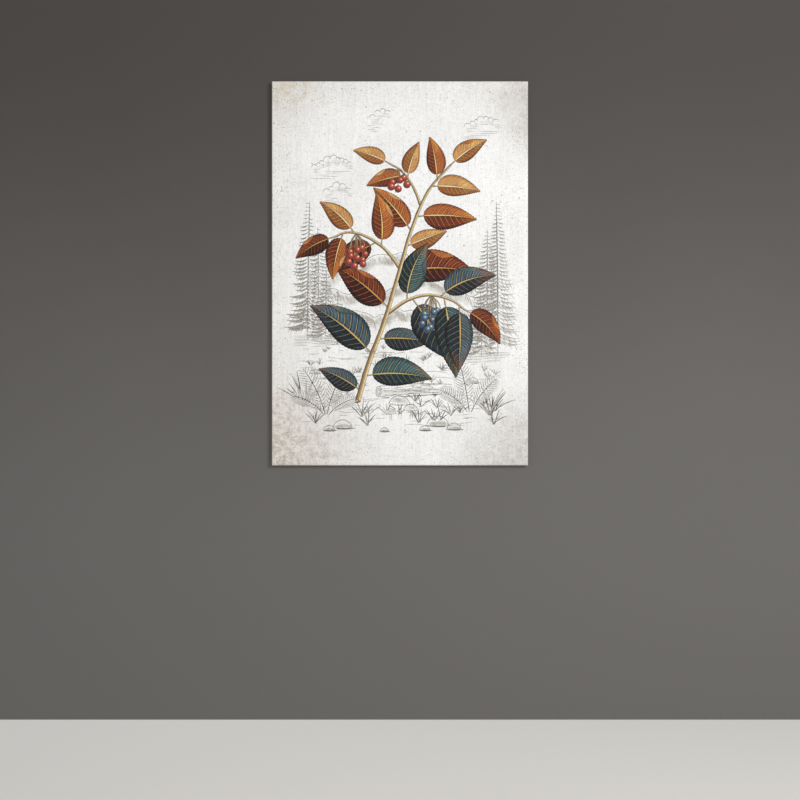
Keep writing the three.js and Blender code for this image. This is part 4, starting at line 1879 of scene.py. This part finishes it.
@dataclass
class CornerFolds:
    """The folded corners of the cloth: a three-cornered flap over each end of the top and bottom edges."""

    low: Vector
    high: Vector
    edge_radius: float = Cloth.edge_radius
    back_radius: float = Cloth.back_radius
    lift: float = 0.00035
    thickness: float = 0.0005
    length: float = 0.044
    tip: float = 0.0012
    slant: float = 0.86
    setback: float = 0.0003
    ripple: float = 0.00008
    print_end: float = 0.009
    behind: float = 0.0008
    rows: int = 18
    columns: int = 5

    def build(self, finish: bpy.types.Material, back_finish: bpy.types.Material) -> bpy.types.Object:
        """Builds the four flaps.

        Args:
            finish: The printed ground.
            back_finish: The primed cloth behind it.

        Returns:
            The finished piece.
        """
        form = bmesh.new()
        for side in (-1, 1):
            for end in (-1, 1):
                self._flap(form, side, end)
        return settle(form, "corner_folds", finish, back_finish)

    def _flap(self, form: bmesh.types.BMesh, side: int, end: int) -> None:
        """Folds one flap.

        Args:
            form: The mesh under construction.
            side: 1 for the top and -1 for the bottom.
            end: 1 for the right and -1 for the left.
        """
        made = bmesh.ops.create_grid(form, x_segments=self.columns, y_segments=self.rows, size=0.5)
        for vert in made["verts"]:
            vert.co = self._place(vert.co.y + 0.5, vert.co.x + 0.5, side, end)
        faces = list(dict.fromkeys(face for vert in made["verts"] for face in vert.link_faces))
        bmesh.ops.recalc_face_normals(form, faces=faces)
        if sum(face.normal.z * face.calc_area() for face in faces) * side < 0:
            bmesh.ops.reverse_faces(form, faces=faces)
        for face in faces:
            centre = face.calc_center_median()
            inset = self.high.z - centre.z if side > 0 else centre.z - self.low.z
            primed = centre.y > self.high.y - self.behind and inset > self.print_end
            face.smooth = True
            face.material_index = int(primed)
        bmesh.ops.solidify(form, geom=faces, thickness=self.thickness)

    def _place(self, part: float, reach: float, side: int, end: int) -> Vector:
        """Finds a place on a flap.

        Args:
            part: How far it is from the flap's point in front towards its end behind.
            reach: How far it is from the picture's corner towards the flap's slanting edge.
            side: 1 for the top and -1 for the bottom.
            end: 1 for the right and -1 for the left.

        Returns:
            The place.
        """
        front, back = self.low.y + self.edge_radius, self.high.y
        straight = back - self.back_radius - front
        bow = self.back_radius * math.pi / 2
        run = part * self.length
        lift = self.lift * min(1.0, part * 6)
        if run < straight:
            y, inset = front + run, -lift
        elif run < straight + bow:
            turn = (run - straight) / self.back_radius
            radius = self.back_radius + lift
            y = back - self.back_radius + radius * math.sin(turn)
            inset = self.back_radius - radius * math.cos(turn)
        else:
            y, inset = back + lift, self.back_radius + run - straight - bow
        width = self.tip + part * self.length * self.slant
        x = (self.high.x - self.setback - reach * width) * end
        z = self.high.z - inset if side > 0 else self.low.z + inset
        return Vector((x, y, z + self.ripple * math.sin(part * 9 + end) * reach))


@dataclass
class Wire:
    """A flat wire that is drawn out and bent at its open end."""

    form: bmesh.types.BMesh
    end: bmesh.types.BMFace
    verts: list[bmesh.types.BMVert]

    def pull(self, by: Vector) -> None:
        """Draws the wire out.

        Args:
            by: How far and which way it goes.
        """
        self.end = bmesh.ops.extrude_discrete_faces(self.form, faces=[self.end])["faces"][0]
        bmesh.ops.translate(self.form, verts=self.end.verts, vec=by)
        self.verts += self.end.verts

    def turn(self, pivot: Vector) -> None:
        """Bends the wire to the right through a right angle, in three steps.

        Args:
            pivot: The middle of the bend.
        """
        bend = Matrix.Rotation(math.radians(-30), 3, "Z")
        for _ in range(3):
            self.pull(Vector((0, 0, 0)))
            bmesh.ops.rotate(self.form, verts=self.end.verts, cent=pivot, matrix=bend)


@dataclass
class Staples:
    """The staples that hold the hem to the frame, all in one mesh."""

    low: Vector
    high: Vector
    inset: float = 0.0175
    pitch: float = 0.072
    corner_gap: float = 0.05
    corner_shift: Point = (0.008, 0.002)
    crown: float = 0.0105
    wire: Point = (0.0012, 0.0006)
    bend: float = 0.0007
    leg: float = 0.0005
    sunk: float = 0.0001
    lean: float = 5.0
    scatter: float = 0.0012

    def build(self, seed: int) -> bpy.types.Object:
        """Builds the staples.

        Args:
            seed: What their unevenness starts from.

        Returns:
            The finished piece.
        """
        chance = random.Random(seed)
        form = bmesh.new()
        for x, z, turn in self._spots():
            verts = self._staple(form)
            lean = math.radians(turn + chance.gauss(0, self.lean))
            x, z = x + chance.gauss(0, self.scatter), z + chance.gauss(0, self.scatter)
            place = Matrix.Translation((x, self.high.y, z)) @ Matrix.Rotation(lean, 4, "Y")
            bmesh.ops.transform(form, verts=verts, matrix=place)
        bmesh.ops.recalc_face_normals(form, faces=form.faces)
        return settle(form, "staples", PlatedSteel("staple_wire", "c4c6ca", "8f9196", 0.24).dress())

    def _spots(self) -> list[Triple]:
        """Works out where the staples go.

        Returns:
            The place across, the height and the turn in degrees of each.
        """
        wide, tall = self.high.x - self.inset, (self.high.z - self.low.z) / 2 - self.inset
        middle = (self.high.z + self.low.z) / 2
        spots = []
        for x in self._row(wide - self.corner_gap):
            spots += [(x, middle + tall, 0.0), (x, middle - tall, 0.0)]
        for z in self._row(tall - self.corner_gap):
            spots += [(wide, middle + z, 90.0), (-wide, middle + z, 90.0)]
        wide, tall = wide - self.corner_shift[0], tall - self.corner_shift[1]
        for side in (-1, 1):
            for end in (-1, 1):
                spots.append((end * wide, middle + side * tall, 45.0 * side * end))
        return spots

    def _row(self, reach: float) -> list[float]:
        """Returns the even places of a row that reaches as far to both sides of the middle."""
        count = round(2 * reach / self.pitch)
        return [-reach + 2 * reach * k / count for k in range(count + 1)]

    def _staple(self, form: bmesh.types.BMesh) -> list[bmesh.types.BMVert]:
        """Bends one staple: a leg, a crown and a leg, with its crown along X on the plane y = 0.

        Args:
            form: The mesh under construction.

        Returns:
            Its vertices.
        """
        thick, deep = self.wire
        half = self.crown / 2
        elbow = half - self.bend - deep
        start = bmesh.ops.create_grid(form, x_segments=1, y_segments=1, size=0.5)["verts"]
        for vert in start:
            vert.co = (-half + (vert.co.x + 0.5) * deep, -self.sunk - self.leg, vert.co.y * thick)
        wire = Wire(form, start[0].link_faces[0], list(start))
        wire.pull(Vector((0, self.leg, 0)))
        wire.turn(Vector((-elbow, -self.sunk, 0)))
        wire.pull(Vector((2 * elbow, 0, 0)))
        wire.turn(Vector((elbow, -self.sunk, 0)))
        wire.pull(Vector((0, -self.leg, 0)))
        return wire.verts


@dataclass
class Bumper:
    """A felt disc that keeps a lower corner off the wall."""

    node: str
    sides: int = 40
    rounding: float = 0.22
    rings: int = 4
    ring: float = 0.19
    naps: float = 900.0
    nap: float = 0.00016

    def build(self, finish: bpy.types.Material) -> bpy.types.Object:
        """Builds the disc, with a soft edge and an uneven nap.

        Args:
            finish: The felt.

        Returns:
            The finished piece.
        """
        low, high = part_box(self.node)
        middle = (low + high) / 2
        radius, thick = (high.x - low.x) / 2, high.y - low.y
        form = bmesh.new()
        bmesh.ops.create_circle(form, cap_ends=True, radius=radius, segments=self.sides)
        made = bmesh.ops.extrude_face_region(form, geom=list(form.faces))["geom"]
        bmesh.ops.translate(form, verts=picked(bmesh.types.BMVert, made), vec=(0, 0, thick))
        rims = [edge for edge in form.edges if abs(edge.verts[0].co.z - edge.verts[1].co.z) < 1e-6]
        soft = thick * self.rounding
        bmesh.ops.bevel(form, geom=rims, offset=soft, segments=3, profile=0.5, affect="EDGES", material=-1)
        caps = [face for face in form.faces if len(face.verts) > 4]
        for _ in range(self.rings):
            bmesh.ops.inset_region(form, faces=caps, thickness=radius * self.ring, depth=0)
        self._roughen(form, thick)
        upright = Matrix.Rotation(math.radians(90), 3, "X")
        bmesh.ops.rotate(form, verts=form.verts, cent=(0, 0, 0), matrix=upright)
        bmesh.ops.translate(form, verts=form.verts, vec=(middle.x, high.y, middle.z))
        bmesh.ops.recalc_face_normals(form, faces=form.faces)
        for face in form.faces:
            face.smooth = len(face.verts) == 4
        return settle(form, self.node.replace("bumper", "felt_bumper"), finish)

    def _roughen(self, form: bmesh.types.BMesh, thick: float) -> None:
        """Raises the nap on the disc, mostly round its edge.

        Args:
            form: The mesh under construction.
            thick: The disc's thickness.
        """
        for vert in form.verts:
            nap = noise.noise(vert.co * self.naps) * self.nap
            away = Vector((vert.co.x, vert.co.y, 0))
            inside = 0 < vert.co.z < thick
            vert.co += away.normalized() * nap * (2.0 if inside else 0.4)
            if vert.co.z > thick * 0.9:
                vert.co.z -= abs(nap) * 0.8


@dataclass
class Stretcher:
    """The wooden frame, its keys and its hanging fittings, which keep their own shapes."""

    def dress(self) -> None:
        """Gives every wooden and metal node its finish."""
        left_knots = ((-0.44, -0.478, 0.006), (-1.08, -0.470, 0.007))
        top_knots = ((-0.21, 0.020, 0.0065), (0.33, 0.008, 0.005))
        timbers = {
            "bar_top": Pine("pine_top", Run.LEVEL, (0.047, -0.060), top_knots),
            "bar_bottom": Pine("pine_bottom", Run.LEVEL, (-1.421, -0.072), ((0.12, -1.436, 0.0075),)),
            "bar_left": Pine("pine_left", Run.UPRIGHT, (-0.462, -0.066), left_knots),
            "bar_right": Pine("pine_right", Run.UPRIGHT, (0.489, -0.064), ((-0.86, 0.476, 0.0055),)),
            "brace_upright": Pine(
                "pine_brace_upright", Run.UPRIGHT, (0.012, -0.052), ((-0.33, 0.006, 0.005),)
            ),
            "brace_level": Pine("pine_brace_level", Run.LEVEL, (-0.717, -0.055), ((0.27, -0.703, 0.0055),)),
        }
        for node, wood in timbers.items():
            self._cover(node, wood.dress())
        keys = {run: Beech(f"beech_{run.value}", run).dress() for run in Run}
        plate = PlatedSteel("yellow_plated_steel", "cfb36a", "b08c50", 0.26).dress()
        zinc = PlatedSteel("zinc_plated_steel", "c9ccd1", "9a9da3", 0.22).dress()
        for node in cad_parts:
            if node.startswith("key_"):
                self._cover(node, keys[Run.UPRIGHT if node.endswith("upright") else Run.LEVEL])
            elif node.startswith("hanger_screw"):
                self._cover(node, zinc)
            elif node.startswith("hanger"):
                self._cover(node, plate)

    def _cover(self, node: str, finish: bpy.types.Material) -> None:
        """Puts a finish on a node of the frame.

        Args:
            node: The node.
            finish: Its finish.
        """
        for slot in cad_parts[node].material_slots:
            slot.material = finish
        LOG.info("%s: %s", node, finish.name)


@dataclass
class Studio:
    """The wall, floor, lights and camera."""

    wall_gap: float = 0.0006
    wall_size: Point = (7.0, 2.5)
    floor_z: float = -2.46
    floor_y: float = -2.0
    floor_size: Point = (7.0, 7.0)
    camera_y: float = -4.365
    camera_z: float = -1.2040
    lens: float = 50.0
    sensor: float = 36.0
    aim: Triple = (0.0, 0.0, -0.72)
    sky: Paint = (0.98, 0.99, 1.0, 1.0)
    sky_strength: float = 0.49
    lights: tuple[tuple[str, Triple, float, float], ...] = (
        ("key_light", (2.3, -3.9, 0.15), 1.5, 120.0),
        ("fill_light", (-2.6, -3.4, -0.9), 2.4, 16.0),
        ("back_light", (-1.6, 2.6, 0.7), 1.6, 42.0),
    )

    def build(self) -> None:
        """Sets the whole studio up."""
        level = Matrix.Translation((0, self.floor_y, self.floor_z))
        floor = self._sheet(self.floor_size, level, "floor", Plaster("pale_floor", "d9d6d1", "cfccc7"))
        upright = Matrix.Translation((0, self.wall_gap, 0)) @ Matrix.Rotation(math.radians(90), 4, "X")
        grey = Plaster("grey_wall", "6b6967", "4e4a48", one_sided=True)
        wall = self._sheet(self.wall_size, upright, "wall", grey)
        for unseen in ("visible_diffuse", "visible_glossy", "visible_transmission", "visible_shadow"):
            setattr(wall, unseen, False)
        for light in self.lights:
            self._light(*light)
        self._world()
        self._camera()

    def _sheet(self, size: Point, place: Matrix, name: str, finish: Plaster) -> bpy.types.Object:
        """Makes a flat backdrop.

        Args:
            size: Half its width and half its depth.
            place: Where it stands.
            name: Its name.
            finish: Its surface.

        Returns:
            The backdrop.
        """
        form = bmesh.new()
        bmesh.ops.create_grid(form, x_segments=8, y_segments=8, size=1.0)
        bmesh.ops.scale(form, verts=form.verts, vec=(*size, 1))
        bmesh.ops.transform(form, verts=form.verts, matrix=place)
        return settle(form, name, finish.dress())

    def _light(self, name: str, place: Triple, size: float, power: float) -> None:
        """Hangs a square soft light that faces the picture.

        Args:
            name: Its name.
            place: Where it hangs.
            size: The length of its sides.
            power: Its power in watts.
        """
        lamp = bpy.data.lights.new(name, "AREA")
        lamp.size, lamp.energy = size, power
        light = bpy.data.objects.new(name, lamp)
        light.location = place
        light.rotation_euler = (Vector(self.aim) - light.location).to_track_quat("-Z", "Y").to_euler()
        bpy.context.collection.objects.link(light)

    def _world(self) -> None:
        """Fills the studio with even pale light."""
        world = bpy.data.worlds.new("studio")
        world.use_nodes = True
        background = world.node_tree.nodes["Background"]
        background.inputs["Color"].default_value = self.sky
        background.inputs["Strength"].default_value = self.sky_strength
        bpy.context.scene.world = world
        bpy.context.scene.view_settings.view_transform = "Standard"

    def _camera(self) -> None:
        """Sets the camera up, level and square to the wall."""
        data = bpy.data.cameras.new("camera")
        data.lens, data.sensor_width = self.lens, self.sensor
        data.clip_start, data.clip_end = 0.05, 60.0
        camera = bpy.data.objects.new("camera", data)
        camera.location = (0.0, self.camera_y, self.camera_z)
        camera.rotation_euler = (math.radians(90), 0, 0)
        bpy.context.collection.objects.link(camera)
        bpy.context.scene.camera = camera


def mount(piece: bpy.types.Object, nodes: Iterable[str] = ()) -> None:
    """Fixes a piece to the frame.

    Args:
        piece: The piece.
        nodes: The nodes that it stands for.
    """
    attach(piece, BODY)
    if nodes:
        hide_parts(*nodes)
    LOG.info("%s: %d faces", piece.name, len(piece.data.polygons))


def main() -> None:
    """Builds the picture and its studio, and fixes every piece to the frame."""
    logging.basicConfig(level=logging.INFO, format="%(message)s")
    Studio().build()
    low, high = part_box("canvas")
    drawing = Drawing(DRAWING_SEED)
    Landscape(drawing).draw()
    Spray(drawing).draw()
    LOG.info("drawing: %d cells", len(drawing.cells))
    canvas = Cloth(drawing, low, high).build()
    mount(canvas, ["canvas"])
    materials = canvas.data.materials
    folds = CornerFolds(low, high).build(materials[Ink.GROUND.value], materials[Ink.PRIMER.value])
    mount(folds)
    Stretcher().dress()
    mount(Staples(low, high).build(STAPLE_SEED))
    felt = Felt().dress()
    for node in ("bumper_left", "bumper_right"):
        mount(Bumper(node).build(felt), [node])


if __name__ == "__main__":
    main()
